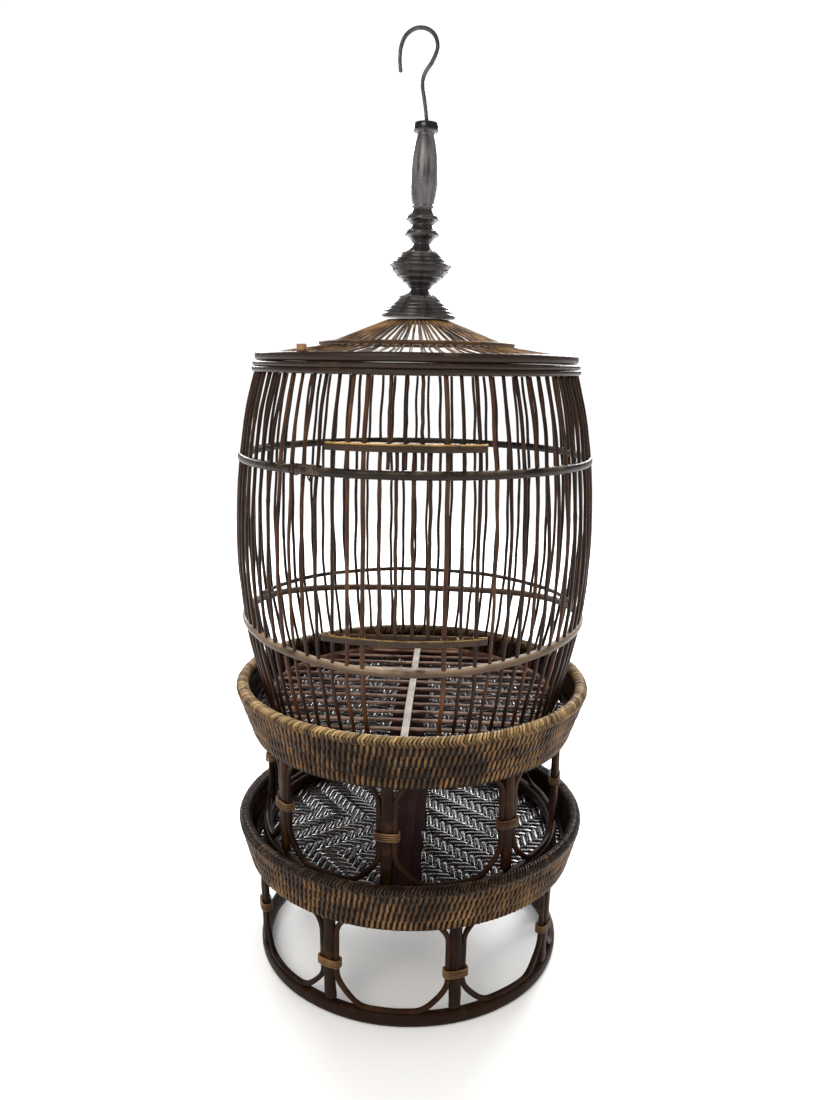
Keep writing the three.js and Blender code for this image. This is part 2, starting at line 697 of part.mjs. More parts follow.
// The hook is one bent wire; its points are [across, height above the handle's top].
function hook() {
  const route = [
    [0, GAP - HOOK_SOCKET + 0.6],
    [0, 2],
    [-2.4, 18],
    [-5.2, 34],
    [-3.2, 44],
    [3.6, 55],
    [7.8, 67],
    [4.6, 77.5],
    [-3.6, 83],
    [-13.6, 83],
    [-22.4, 77],
    [-26.8, 67],
    [-27.6, 55],
    [-26.4, 44],
  ];
  const points = route.map(([across, height]) => new THREE.Vector3(across, 0, HANDLE_TOP + height));
  const path = new THREE.CatmullRomCurve3(points);
  const section = new THREE.Shape();
  section.absarc(0, 0, HOOK_WIRE / 2, 0, 2 * Math.PI);
  return new THREE.ExtrudeGeometry(section, { steps: 26, curveSegments: 3, extrudePath: path });
}

// ---------------------------------------------------------------- assembly

buildStand(LOWER_STAND);
buildStand(UPPER_STAND);

add('floor_hoop', floorHoop(), 'wornBamboo');
add('floor_slats', floorSlats(), 'wornBamboo');
add('floor_strip', floorStrip(), 'paleStrip');

const placesPerPanel = (BAR_PLACES - DOOR_BARS) / WALL_PANELS;
for (let i = 0; i < WALL_PANELS; i += 1) {
  const first = FRONT_GAP + i * placesPerPanel;
  add(`wall_bars_${i + 1}`, wallPanel(first, first + placesPerPanel - 1), 'darkBamboo');
}
add('bars_over_door', barsOverDoor(), 'darkBamboo');
add('sill_hoop', sillHoop(), 'wornBamboo');
add('belt_hoop', drilledHoop(BELT_HOOP, null, true), 'wornBamboo');
add('rear_half_hoop', rearHoop(), 'darkBamboo');
add('wall_top_hoop', wallHoop(), 'darkBamboo');
add('roof_rim_hoop', roofHoop(), 'darkBamboo');
add('roof_middle_hoop', middleHoop(), 'wornBamboo');
add('roof_splints', roofSplints(), 'darkBamboo');
add('roof_rim_block', roofBlock(), 'bareWood');

add('door_top_rail', topRail(), 'wornBamboo');
add('door_bottom_rail', bottomRail(), 'wornBamboo');

const spire = new THREE.Group();
spire.position.set(SPIRE_OFFSET, 0, SPIRE_BASE);
spire.rotation.y = radians(SPIRE_LEAN);
cage.add(spire);
add('finial', finial(), 'turnedWood', spire);
add('handle', handle(), 'turnedWood', spire);
add('hook', hook(), 'iron', spire);

export default cage;
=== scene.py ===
import json
import math
from functools import lru_cache

import bpy
import numpy as np
from mathutils import Matrix, Vector
from mathutils.geometry import tessellate_polygon


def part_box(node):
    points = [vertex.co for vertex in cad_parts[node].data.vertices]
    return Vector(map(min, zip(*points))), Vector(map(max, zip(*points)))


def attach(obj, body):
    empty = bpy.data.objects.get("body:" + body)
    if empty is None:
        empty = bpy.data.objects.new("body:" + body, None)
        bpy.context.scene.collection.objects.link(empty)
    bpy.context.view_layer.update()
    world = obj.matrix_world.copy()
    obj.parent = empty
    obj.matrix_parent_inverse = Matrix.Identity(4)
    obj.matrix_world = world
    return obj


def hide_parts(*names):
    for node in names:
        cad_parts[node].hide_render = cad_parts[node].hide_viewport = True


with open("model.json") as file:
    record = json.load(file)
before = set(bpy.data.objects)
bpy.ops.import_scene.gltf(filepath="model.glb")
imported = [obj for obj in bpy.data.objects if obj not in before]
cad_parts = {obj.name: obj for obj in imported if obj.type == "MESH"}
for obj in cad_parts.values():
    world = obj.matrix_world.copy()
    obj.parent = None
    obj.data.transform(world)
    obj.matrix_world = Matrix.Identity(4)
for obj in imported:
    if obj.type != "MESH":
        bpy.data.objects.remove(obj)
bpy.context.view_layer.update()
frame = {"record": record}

RECORD = frame["record"]
BODY_OF = {node: body for body, nodes in RECORD["behaviour"]["bodies"].items() for node in nodes}
JOINTS = {joint["name"]: joint for joint in RECORD["behaviour"]["joints"]}

MM = 0.001
rng = np.random.default_rng(11)

# ---------------------------------------------------------------- driving dimensions

# Stands
LEG_COUNT = 8
FOOT_RING_WIDTH = 12 * MM
POLE_WIDTH = 13 * MM
POLE_DEPTH = 9 * MM
LOOP_CANE = 5.2 * MM
LOOP_CORNER = 31 * MM
LOOP_TUCK = 1.4 * MM  # how far a loop's cane is pressed into the line of the pole
TRAY_WALL = 7 * MM
RIM_ROLL = 7 * MM
RIM_PITCH = 3.5 * MM
RIM_STRAND = (2.5 * MM, 2.8 * MM)
RIM_FOLD = 28  # degrees up the roll's outside, where the braid's strands turn back
RIM_ENDS = (-16, 204)  # degrees round the roll, from its outside to its inside
BAND_FLARE = {"lower": 11.7 * MM, "upper": 17.3 * MM}  # how far the rim stands out past the foot
BAND_ROWS = 4
STITCH = (3.1 * MM, 2.9 * MM)
STITCH_PITCH = 5.4 * MM
STITCH_ROWS = (1.5, 1.75)  # a stitch's length, in rows
LASHING_HEIGHT = {"lower": 0.45, "upper": 0.5}  # share of the leg's height at which it is bound
LASHING_TURNS = 4
LASHING_CANE = 2.2 * MM
WEAVE_PITCH = 7.2 * MM
WEAVE_STRIP = 6.5 * MM
WEAVE_THICKNESS = 1.6 * MM
WEAVE_TURN = {1: 3, -1: -9}  # degrees, to the right and left of the middle strip
WEAVE_FOLD = {1: 13, -1: 11}  # strips from one turning of the twill's diagonals to the next
CENTRE_STRIP = 33 * MM
MIDDLE_LANES = 3

# Cage wall
BAR_PLACES = 76
BAR_PITCH = 360 / BAR_PLACES
BAR = 3.4 * MM
JAMB_BAR = 4.2 * MM
DOOR_BARS = 4
GUIDE_BARS = 3
WALL_PANELS = 4
GUIDE_RADIUS = 176 * MM
BAR_FOOT_RADIUS = 153.5 * MM
BAR_SILL_RADIUS = 174.8 * MM
BAR_BELLY = (458 * MM, 181.2 * MM)
BAR_BELT_RADIUS = 176.5 * MM
BAR_SHOULDER = (586 * MM, 170.3 * MM)
BAR_TOP_RADIUS = 160 * MM
SILL_BOTTOM = 362 * MM  # at the doorway
SILL_HEIGHT = 7 * MM
SILL_RISE = {"sides": 15.5 * MM, "back": -7 * MM}  # how far it leaves its level at the doorway
SILL_CHORD = 165 * MM
HOOP_WIDTH = 8 * MM  # of the sill and belt hoops, from outside to inside
HOOP_STEPS = 240
BELT_GAP = 0.4 * MM  # left free under the door's top rail at its stop
SCARF = (-38, -24.5)  # degrees from the door's middle, over which the belt hoop's ends overlap
SCARF_TIES = (-35.4, -33.9)
BINDING = (-31, -25)
BINDING_TURNS = 6
BINDING_ENDS = (-30.4, -28.8, -28, -26)

# Door
DOOR_CHORD = 161.8 * MM
RAIL_EDGE = 1.6 * MM  # how far down the rails' sides their golden top wear reaches
RAIL_BEVEL = 1.1 * MM
BOTTOM_RAIL_HEIGHT = 6.4 * MM
SLOT_GAP = 0.7 * MM  # round a guide bar in the bottom rail

# Roof
SPLINT_COUNT = 60
SPLINT = 2.3 * MM
SPLINT_MIDDLE = (97 * MM, 650 * MM)
SPLINT_END = (156.4 * MM, 641.6 * MM)
SPLINT_START = (30 * MM, 676.4 * MM)
HUB_RADIUS = 26.5 * MM
BLOCK_LENGTH = 9.6 * MM

# Cage floor
SLAT_COUNT = 13
SLAT_PITCH = 22.5 * MM
SLAT_WIDTH = 6.5 * MM
SLAT_THICKNESS = 2.4 * MM

# Spire
HANDLE_TOP = 182 * MM  # above the spire's base, along its axis
HANDLE_BOTTOM = 103.8 * MM
HOOK_WIRE = 3.9 * MM

# ---------------------------------------------------------------- materials


class Graph:
    """A material with a short way of adding nodes to it."""

    def __init__(self, name):
        self.material = bpy.data.materials.new(name)
        self.material.use_nodes = True
        self.tree = self.material.node_tree
        self.shader = self.tree.nodes["Principled BSDF"]

    def add(self, kind, inputs=None, **settings):
        node = self.tree.nodes.new(kind)
        for key, value in settings.items():
            setattr(node, key, value)
        for key, value in (inputs or {}).items():
            self.feed(node.inputs[key], value)
        return node

    def feed(self, socket, value):
        if isinstance(value, bpy.types.NodeSocket):
            self.tree.links.new(value, socket)
        else:
            socket.default_value = value

    def attribute(self, name, output):
        return self.add("ShaderNodeAttribute", attribute_name=name).outputs[output]

    def noise(self, vector, scale, detail=3.0, roughness=0.6):
        inputs = {"Vector": vector, "Scale": scale, "Detail": detail, "Roughness": roughness}
        return self.add("ShaderNodeTexNoise", inputs).outputs[0]

    def spread(self, value, low, high, to_low=0.0, to_high=1.0):
        inputs = {"From Min": low, "From Max": high, "To Min": to_low, "To Max": to_high}
        return self.add("ShaderNodeMapRange", {"Value": value} | inputs).outputs["Result"]

    def maths(self, operation, a, b):
        return self.add("ShaderNodeMath", {0: a, 1: b}, operation=operation).outputs[0]

    def blend(self, factor, a, b):
        return self.add("ShaderNodeMix", {0: factor, 6: a, 7: b}, data_type="RGBA").outputs[2]

    def stretched(self, vector, across, along, offset):
        """Grain coordinates squeezed along the strand, so that noise turns into fibres."""
        inputs = {0: vector, 1: (across, along, offset)}
        return self.add("ShaderNodeVectorMath", inputs, operation="MULTIPLY").outputs[0]

    def bump(self, height, strength, distance):
        inputs = {"Height": height, "Strength": strength, "Distance": distance}
        normal = self.add("ShaderNodeBump", inputs).outputs["Normal"]
        self.feed(self.shader.inputs["Normal"], normal)

    def finish(self, colour, roughness, **fixed):
        self.feed(self.shader.inputs["Base Color"], colour)
        self.feed(self.shader.inputs["Roughness"], roughness)
        for key, value in fixed.items():
            self.shader.inputs[key.replace("_", " ")].default_value = value
        return self.material


def rgb(red, green, blue):
    """A linear colour from the 0-255 values that a screen shows."""
    def linear(value):
        value /= 255
        return value / 12.92 if value <= 0.04045 else ((value + 0.055) / 1.055) ** 2.4

    return (linear(red), linear(green), linear(blue), 1)


def cane_material(name, dark, middle, light, worn, roughness, wear_level, gloss=0.28):
    """Bamboo or rattan: fibres along the strand, blotches over it, and pale wear on high edges; on
    the rim braid this pale colour also paints the light that falls on the rim's front.
    """
    dark, middle, light, worn = (rgb(*colour) for colour in (dark, middle, light, worn))
    graph = Graph(name)
    grain = graph.attribute("grain", "Vector")
    tone = graph.attribute("tone", "Fac")
    wear = graph.attribute("wear", "Fac")
    place = graph.add("ShaderNodeTexCoord").outputs["Object"]
    fibres = graph.noise(graph.stretched(grain, 1, 0.05, 1), 1500)
    streaks = graph.noise(graph.stretched(grain, 1, 0.1, 1), 420, 2)
    blotches = graph.noise(place, 38, 3)
    body = graph.blend(graph.spread(streaks, 0.32, 0.66), dark, middle)
    brighter = graph.spread(tone, 0.35, 1, 0, 0.75)
    lit = graph.maths("MULTIPLY", brighter, graph.spread(blotches, 0.3, 0.7))
    body = graph.blend(lit, body, light)
    spared = 1 - wear_level
    patchy = graph.maths("MULTIPLY", wear, graph.spread(blotches, spared - 0.16, spared + 0.1))
    patchy = graph.maths("MULTIPLY", patchy, graph.spread(fibres, 0.3, 0.55))
    body = graph.blend(patchy, body, worn)
    graph.bump(fibres, 0.35, 0.25 * MM)
    rough = graph.spread(streaks, 0.3, 0.7, roughness - 0.1, roughness + 0.14)
    return graph.finish(body, rough, Specular_IOR_Level=gloss)


def weave_material():
    """Black lacquered strips with a wet gloss, rubbed browner here and there."""
    graph = Graph("lacquered_weave")
    grain = graph.attribute("grain", "Vector")
    tone = graph.attribute("tone", "Fac")
    place = graph.add("ShaderNodeTexCoord").outputs["Object"]
    fibres = graph.noise(graph.stretched(grain, 1, 0.06, 1), 1100)
    blotches = graph.noise(place, 24, 2)
    body = graph.blend(graph.spread(tone, 0, 1), rgb(10, 8, 9), rgb(30, 24, 26))
    body = graph.blend(graph.spread(blotches, 0.45, 0.75, 0, 0.5), body, rgb(58, 34, 30))
    rough = graph.spread(fibres, 0.3, 0.7, 0.17, 0.3)
    graph.bump(fibres, 0.3, 0.25 * MM)
    return graph.finish(body, rough, Specular_IOR_Level=0.7)


def turned_material(name, dark, middle, light, roughness):
    """Turned wood: fine lathe rings across the axis and grain that runs along it."""
    dark, middle, light = (rgb(*colour) for colour in (dark, middle, light))
    graph = Graph(name)
    grain = graph.attribute("grain", "Vector")
    wear = graph.attribute("wear", "Fac")
    figure = graph.noise(graph.stretched(grain, 1, 0.12, 1), 260, 4)
    rings = graph.noise(graph.stretched(grain, 0.02, 1, 1), 1900, 2)
    body = graph.blend(graph.spread(figure, 0.35, 0.66), dark, middle)
    rubbed = graph.maths("MULTIPLY", wear, graph.spread(figure, 0.36, 0.58))
    body = graph.blend(rubbed, body, light)
    graph.bump(rings, 0.14, 0.2 * MM)
    rough = graph.spread(rings, 0.3, 0.7, roughness - 0.06, roughness + 0.1)
    return graph.finish(body, rough, Coat_Weight=0.25, Coat_Roughness=0.18)


def iron_material():
    """Dull grey wire with spots of rust."""
    graph = Graph("iron_wire")
    place = graph.add("ShaderNodeTexCoord").outputs["Object"]
    scale = graph.noise(place, 260, 4)
    patches = graph.noise(place, 60, 2)
    body = graph.blend(graph.spread(patches, 0.4, 0.62), rgb(70, 68, 72), rgb(108, 104, 106))
    body = graph.blend(graph.spread(scale, 0.56, 0.7, 0, 0.7), body, rgb(58, 44, 38))
    graph.bump(scale, 0.4, 0.15 * MM)
    return graph.finish(body, graph.spread(scale, 0.3, 0.7, 0.34, 0.58), Metallic=0.85)


# Dark, middle, light and worn colours as a screen shows them, roughness, how far wear spreads, and
# the gloss where it isn't the usual one
CANES = {
    "bar": ((24, 13, 9), (48, 28, 17), (94, 58, 33), (134, 94, 58), 0.38, 0.22, 0.2),
    "sill": ((44, 30, 21), (82, 62, 46), (128, 104, 82), (204, 178, 146), 0.3, 0.56),
    "belt": ((14, 9, 7), (32, 22, 16), (60, 44, 32), (176, 158, 130), 0.3, 0.38, 0.24),
    "hoop": ((28, 18, 13), (54, 38, 27), (90, 66, 46), (178, 150, 112), 0.3, 0.3),
    "rim_hoop": ((26, 17, 13), (52, 37, 29), (84, 62, 48), (190, 168, 138), 0.26, 0.3),
    "splint": ((34, 22, 14), (70, 46, 28), (116, 82, 48), (190, 148, 94), 0.36, 0.45),
    "slat": ((58, 34, 26), (94, 62, 48), (124, 88, 70), (184, 150, 124), 0.34, 0.42),
    "rail": ((24, 15, 9), (50, 34, 21), (80, 58, 36), (222, 176, 98), 0.3, 0.62),
    "stitch": ((30, 18, 10), (64, 41, 23), (116, 82, 48), (160, 122, 76), 0.4, 0.42, 0.16),
    # The braid's worn colour is also the painted golden light on the rim's front, besides wear on
    # the roll's top
    "braid": ((30, 18, 10), (76, 54, 32), (148, 112, 68), (232, 196, 134), 0.32, 0.7),
    "braid_dark": ((18, 11, 8), (40, 26, 17), (74, 50, 31), (142, 106, 68), 0.36, 0.3),
    "core": ((6, 4, 3), (13, 8, 6), (20, 13, 9), (30, 20, 14), 0.8, 0.2),
    "leg": ((16, 8, 4), (38, 21, 11), (64, 38, 20), (104, 70, 40), 0.44, 0.28, 0.08),
    "lashing": ((48, 30, 18), (82, 55, 33), (120, 86, 54), (158, 122, 80), 0.4, 0.45),
    "middle_strip": ((18, 6, 6), (36, 14, 11), (50, 24, 18), (58, 32, 24), 0.7, 0.2, 0.02),
    "pale": ((138, 130, 122), (172, 164, 154), (192, 184, 174), (208, 200, 190), 0.5, 0.4),
    "bare": ((112, 80, 50), (150, 112, 74), (172, 136, 94), (190, 156, 112), 0.6, 0.4),
}
# Dark, middle and light colours, and roughness
TURNED = {
    "finial": ((26, 23, 24), (48, 43, 44), (122, 112, 102), 0.24),
    "handle": ((46, 44, 48), (82, 78, 82), (118, 112, 112), 0.26),
    "disc": ((12, 10, 11), (24, 21, 23), (60, 54, 54), 0.22),
}
MATERIALS = {name: cane_material(name, *looks) for name, looks in CANES.items()}
MATERIALS |= {name: turned_material(name, *looks) for name, looks in TURNED.items()}
MATERIALS |= {"weave": weave_material(), "iron": iron_material()}

# ---------------------------------------------------------------- mesh building


def unit(vectors):
    return vectors / np.maximum(np.linalg.norm(vectors, axis=-1, keepdims=True), 1e-12)


def squarer(value, squareness):
    """Bends a circle's sines and cosines from round (2) towards square (6 and up)."""
    return np.sign(value) * np.abs(value) ** (2 / squareness)


def oval(width, height, sides=8, squareness=2.0):
    """A closed section of [across, outward] points."""
    angle = (np.arange(sides) + 0.5) / sides * 2 * math.pi
    across, outward = squarer(np.cos(angle), squareness), squarer(np.sin(angle), squareness)
    return np.stack([across * width / 2, outward * height / 2], axis=1)


def polar(degrees, radius, height):
    """Points at angles from the door's middle, anticlockwise seen from above."""
    angle = np.radians(degrees)
    x, y = radius * np.sin(angle), -radius * np.cos(angle)
    return np.stack(np.broadcast_arrays(x, y, height), axis=-1)


def wobble(along, amount, waves, closed=False):
    """A slow random wave along a strand; a closed strand's wave meets itself."""
    total = np.zeros_like(along)
    for wave in waves:
        count = round(wave) if closed else wave * rng.uniform(0.8, 1.2)
        total += np.sin(2 * math.pi * count * along + rng.uniform(0, 2 * math.pi)) / len(waves)
    return total * amount


def distances(line):
    """How far each point of a line is from its start, along the line."""
    steps = np.linalg.norm(np.diff(line, axis=0), axis=1)
    return np.concatenate([[0], np.cumsum(steps)])


class Skin:
    """Strands, turned bodies and plates gathered into one mesh, with what the materials read."""

    def __init__(self):
        self.parts = []
        self.faces = []
        self.material_of = []
        self.materials = []
        self.count = 0

    def _store(self, points, faces, grain, tone, wear, material):
        if material not in self.materials:
            self.materials.append(material)
        self.parts.append((points, grain, tone, wear))
        self.faces += faces
        self.material_of += [self.materials.index(material)] * len(faces)
        self.count += len(points)

    def sweep(
        self, path, outward, section, material, size=1.0, tone=None, wear=0.0, closed=False,
    ):
        """Carries a section along a path. Size scales its [across, outward] at each step."""
        path = np.asarray(path, float)
        steps, sides = len(path), len(section)
        outward = np.broadcast_to(np.asarray(outward, float), path.shape)
        if closed:
            tangent = unit(np.roll(path, -1, 0) - np.roll(path, 1, 0))
        else:
            tangent = unit(np.gradient(path, axis=0))
        across = unit(np.cross(tangent, outward))
        up = np.cross(across, tangent)
        size = np.asarray(size, float)
        size = np.broadcast_to(size if size.ndim == 2 else size.reshape(-1, 1), (steps, 2))
        ring = path[:, None] + across[:, None] * (section[:, 0] * size[:, :1])[..., None]
        ring = ring + up[:, None] * (section[:, 1] * size[:, 1:])[..., None]
        row = np.arange(steps if closed else steps - 1)[:, None] * sides
        after = (row + sides) % (steps * sides)
        side, beside = np.arange(sides), (np.arange(sides) + 1) % sides
        quads = np.stack([row + side, after + side, after + beside, row + beside], -1)
        faces = (quads.reshape(-1, 4) + self.count).tolist()
        if not closed:
            first = np.arange(sides) + self.count
            faces.append(first.tolist())
            faces.append((first + (steps - 1) * sides)[::-1].tolist())
        tone = rng.uniform() if tone is None else tone
        grain = np.zeros((steps, sides, 3))
        grain[..., 0] = distances(section)
        grain[..., 1] = distances(path)[:, None]
        grain[..., 2] = rng.uniform(0, 3)
        shape = (steps, sides)
        self._store(
            ring.reshape(-1, 3), faces, grain.reshape(-1, 3),
            np.broadcast_to(tone, shape).ravel(), np.broadcast_to(wear, shape).ravel(), material,
        )

    def turned(self, profile, material, sides=64, wear=0.0, place=None):
        """Turns a profile of [radius, height] round the Z axis; it starts and ends on the axis."""
        profile = np.asarray(profile, float)
        steps = len(profile)
        angle = np.arange(sides) / sides * 2 * math.pi
        radius, height = profile[:, :1], profile[:, 1:]
        x, y = radius * np.cos(angle), radius * np.sin(angle)
        points = np.stack(np.broadcast_arrays(x, y, height), -1)
        row = np.arange(steps - 1)[:, None] * sides
        side, beside = np.arange(sides), (np.arange(sides) + 1) % sides
        quads = np.stack([row + side, row + beside, row + sides + beside, row + sides + side], -1)
        faces = (quads.reshape(-1, 4) + self.count).tolist()
        first = np.arange(sides) + self.count
        faces.append(first[::-1].tolist())
        faces.append((first + (steps - 1) * sides).tolist())
        grain = np.zeros(points.shape)
        grain[..., 0] = 0.03 * np.abs(angle / math.pi - 1)
        grain[..., 1] = distances(profile)[:, None]
        points = points.reshape(-1, 3)
        if place is not None:
            points = points @ np.array(place.to_3x3()).T + np.array(place.translation)
        wear = np.broadcast_to(np.reshape(wear, (-1, 1)), (steps, sides)).ravel()
        tone = np.full(steps * sides, 0.5)
        self._store(points, faces, grain.reshape(-1, 3), tone, wear, material)

    def plate(self, outlines, bottom, top, material, wear=1.0):
        """A flat plate from an outline and its holes, each a list of [x, y], worn on top only."""
        flat = np.concatenate([np.asarray(outline) for outline in outlines])
        count = len(flat)
        loops = [[Vector((x, y, 0)) for x, y in outline] for outline in outlines]
        faces = []
        for triangle in tessellate_polygon(loops):
            a, b, c = triangle
            turn = np.cross(flat[b] - flat[a], flat[c] - flat[a])
            a, b, c = (a, b, c) if turn > 0 else (a, c, b)
            faces.append([a + 2 * count, b + 2 * count, c + 2 * count])
            faces.append([c, b, a])
        start = 0
        for outline in outlines:
            size = len(outline)
            for i in range(size):
                here, there = start + i, start + (i + 1) % size
                for low in (0, count):
                    high = low + count
                    faces.append([here + low, there + low, there + high, here + high])
            start += size
        levels = (bottom, top - RAIL_EDGE, top)
        points = np.concatenate([np.column_stack([flat, np.full(count, z)]) for z in levels])
        faces = [[index + self.count for index in face] for face in faces]
        grain = points[:, [1, 0, 2]]
        wear = np.repeat([0.0, 0.0, wear], count)
        self._store(points, faces, grain, np.full(3 * count, 0.6), wear, material)

    def piece(self, node, stands_for=True, name=None):
        """Makes the mesh object, and lets it ride and stand for its CAD node."""
        name = name or f"{node}_look"
        mesh = bpy.data.meshes.new(name)
        points, grain, tone, wear = (np.concatenate(column) for column in zip(*self.parts))
        mesh.from_pydata(points.tolist(), [], self.faces)
        vectors = mesh.attributes.new("grain", "FLOAT_VECTOR", "POINT")
        vectors.data.foreach_set("vector", grain.ravel())
        for attribute, values in (("tone", tone), ("wear", wear)):
            mesh.attributes.new(attribute, "FLOAT", "POINT").data.foreach_set("value", values)
        for material in self.materials:
            mesh.materials.append(MATERIALS[material])
        mesh.polygons.foreach_set("material_index", self.material_of)
        mesh.polygons.foreach_set("use_smooth", [True] * len(mesh.polygons))
        mesh.update()
        piece = bpy.data.objects.new(name, mesh)
        bpy.context.collection.objects.link(piece)
        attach(piece, BODY_OF[node])
        if stands_for:
            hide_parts(node)
        return piece


def bevel(piece, width):
    modifier = piece.modifiers.new("edges", "BEVEL")
    modifier.width = width
    modifier.segments = 3
    modifier.limit_method = "ANGLE"
    modifier.angle_limit = math.radians(40)


def eased(steps, length, radius):
    """Sizes that round off both ends of a strand."""
    along = np.linspace(0, length, steps)
    end = np.minimum(along, length - along) / max(radius, 1e-9)
    return np.sqrt(np.clip(1 - (1 - np.clip(end, 0, 1)) ** 2, 0.12, 1))


@lru_cache(maxsize=None)
def cad_box(node):
    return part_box(node)


def add_ring(skin, radius, height, section, material, size=1.0, tone=0.3, wear=0.0, steps=160):
    """A closed strand that goes round the object's axis."""
    degrees = np.arange(steps) / steps * 360
    skin.sweep(polar(degrees, radius, height), polar(degrees, 1, 0), section, material,
               size, tone, wear, closed=True)


def round_node(node):
    """Radius, bottom and top of a node that goes round the axis."""
    low, high = cad_box(node)
    return high.x, low.z, high.z


def angle_of(node):
    """The angle of a node's middle from the door's middle."""
    low, high = cad_box(node)
    middle = (low + high) / 2
    return math.degrees(math.atan2(middle.x, -middle.y))


# ---------------------------------------------------------------- stands


def pole_radius(stand, height):
    """Radius at which a leg stands, sloping from the foot ring to the band, then straight."""
    foot, base, _ = round_node(f"{stand}_foot_ring")
    rim, band_bottom, _ = round_node(f"{stand}_tray_band")
    under_band = rim - BAND_FLARE[stand] - TRAY_WALL - MM - POLE_DEPTH / 2
    rise = np.clip((height - base) / (band_bottom - base), 0, 1)
    return (foot - FOOT_RING_WIDTH / 2) * (1 - rise) + under_band * rise


def build_foot_ring(stand):
    radius, bottom, top = round_node(f"{stand}_foot_ring")
    steps, uneven = 200, 0.35 * MM
    middle = radius - FOOT_RING_WIDTH / 2 - 0.4 * MM
    middle = middle + wobble(np.arange(steps) / steps, uneven, (3, 7, 11), closed=True)
    section = oval(1, 1, 20, 3.2)
    size = [[top - bottom, FOOT_RING_WIDTH - 1 * MM]]
    worn = np.clip(-section[:, 0] * 2 - 0.2, 0, 1) * 0.7
    skin = Skin()
    add_ring(skin, middle, (bottom + top) / 2, section, "leg", size, 0.5, worn, steps)
    skin.piece(f"{stand}_foot_ring")


def build_pole(stand, index):
    """A leg of thick cane, with one joint of the cane somewhere along it."""
    node = f"{stand}_pole_{index}"
    low, high = cad_box(node)
    degrees = angle_of(node)
    steps = 36
    heights = np.linspace(low.z, high.z, steps)
    share = (heights - low.z) / (high.z - low.z)
    lean = wobble(share, 0.25, (1.3, 2.6))
    path = polar(degrees + lean, pole_radius(stand, heights), heights)
    swell = 1 + wobble(share, 0.04, (2, 5))
    knot = rng.uniform(0.2, 0.8)
    swell = swell + 0.07 * np.exp(-((share - knot) / 0.02) ** 2)
    size = eased(steps, high.z - low.z, 2 * MM) * np.minimum(swell, 1.08)
    section = oval(POLE_WIDTH * 0.94, POLE_DEPTH * 0.92, 20, 2.6)
    skin = Skin()
    skin.sweep(path, polar(degrees, 1, 0), section, "leg", size, wear=0.35)
    skin.piece(node)


def loop_outline(half_width, half_height, corner, steps=150):
    """[across, height] points spaced evenly round a rectangle with wide bends."""
    quarter = np.repeat(np.arange(4), 16)
    turn = (quarter + np.tile(np.linspace(0, 1, 16), 4)) * math.pi / 2
    towards = (quarter + 0.5) * math.pi / 2
    bend = corner * (1 + 0.05 * np.cos(4 * turn))
    across = np.sign(np.cos(towards)) * (half_width - corner) + bend * np.cos(turn)
    height = np.sign(np.sin(towards)) * (half_height - corner) + bend * np.sin(turn)
    corners = np.column_stack([across, height])
    corners = np.vstack([corners, corners[:1]])
    length = distances(corners)
    evenly = np.arange(steps) / steps * length[-1]
    return np.column_stack([np.interp(evenly, length, line) for line in corners.T])


def build_loop(stand, index):
    """A loop of cane bent into a rounded rectangle on the stand's curve, against its poles."""
    node = f"{stand}_cane_loop_{index}"
    low, high = cad_box(node)
    bottom, top = low.z + LOOP_CANE / 2 - 0.5 * MM, high.z - LOOP_CANE / 2
    degrees = angle_of(node)
    middle = (bottom + top) / 2
    bay = 2 * pole_radius(stand, middle) * math.sin(math.radians(180 / LEG_COUNT))
    half_width = bay / 2 - POLE_WIDTH / 2 - LOOP_CANE / 2 + LOOP_TUCK
    across, rise = loop_outline(half_width, (top - bottom) / 2, LOOP_CORNER).T
    heights = middle + rise
    share = np.arange(len(across)) / len(across)
    radius = pole_radius(stand, heights)
    spread = degrees + np.degrees(across / radius)
    path = polar(spread, radius + wobble(share, 0.3 * MM, (2, 5), closed=True), heights)
    size = 1 + wobble(share, 0.06, (3, 8), closed=True)
    section = oval(LOOP_CANE * 1.08, LOOP_CANE, 14, 2.3)
    skin = Skin()
    skin.sweep(path, polar(spread, 1, 0), section, "leg", size, wear=0.4, closed=True)
    skin.piece(node)


def build_lashings(stand):
    """Cane wound round each pole and the loop sides next to it."""
    skin = Skin()
    low = cad_box(f"{stand}_foot_ring")[1].z
    high = cad_box(f"{stand}_tray_band")[0].z
    wrap = oval(LASHING_CANE * 0.7, LASHING_CANE, 8)
    turn = np.linspace(0, 2 * math.pi, 40, endpoint=False)
    across = squarer(np.cos(turn), 3.4) * (POLE_WIDTH / 2 + LOOP_CANE)
    depth = squarer(np.sin(turn), 3.4) * (POLE_DEPTH / 2 + LASHING_CANE * 0.35)
    for index in range(1, LEG_COUNT + 1):
        degrees = angle_of(f"{stand}_pole_{index}")
        middle = low + (high - low) * LASHING_HEIGHT[stand] + rng.uniform(-2, 2) * MM
        tilt = rng.uniform(-0.06, 0.06)
        centre = polar(degrees, pole_radius(stand, middle), middle)
        for winding in range(LASHING_TURNS):
            above = (winding - (LASHING_TURNS - 1) / 2) * LASHING_CANE * 1.02
            height = middle + above + across * tilt
            radius = pole_radius(stand, height)
            path = polar(degrees + np.degrees(across / radius), radius + depth, height)
            away = unit((path - centre) * (1, 1, 0))
            tone = 0.9 if winding == LASHING_TURNS - 1 else rng.uniform(0.2, 0.6)
            skin.sweep(path, away, wrap, "lashing", tone=tone, wear=0.5, closed=True)
    skin.piece(f"{stand}_foot_ring", stands_for=False, name=f"{stand}_lashings_look")


def band_radius(stand, height):
    """Radius of the band's outer face."""
    rim, bottom, crest = round_node(f"{stand}_tray_band")
    rise = (height - bottom) / (crest - RIM_ROLL - bottom)
    return rim - BAND_FLARE[stand] * (1 - rise)


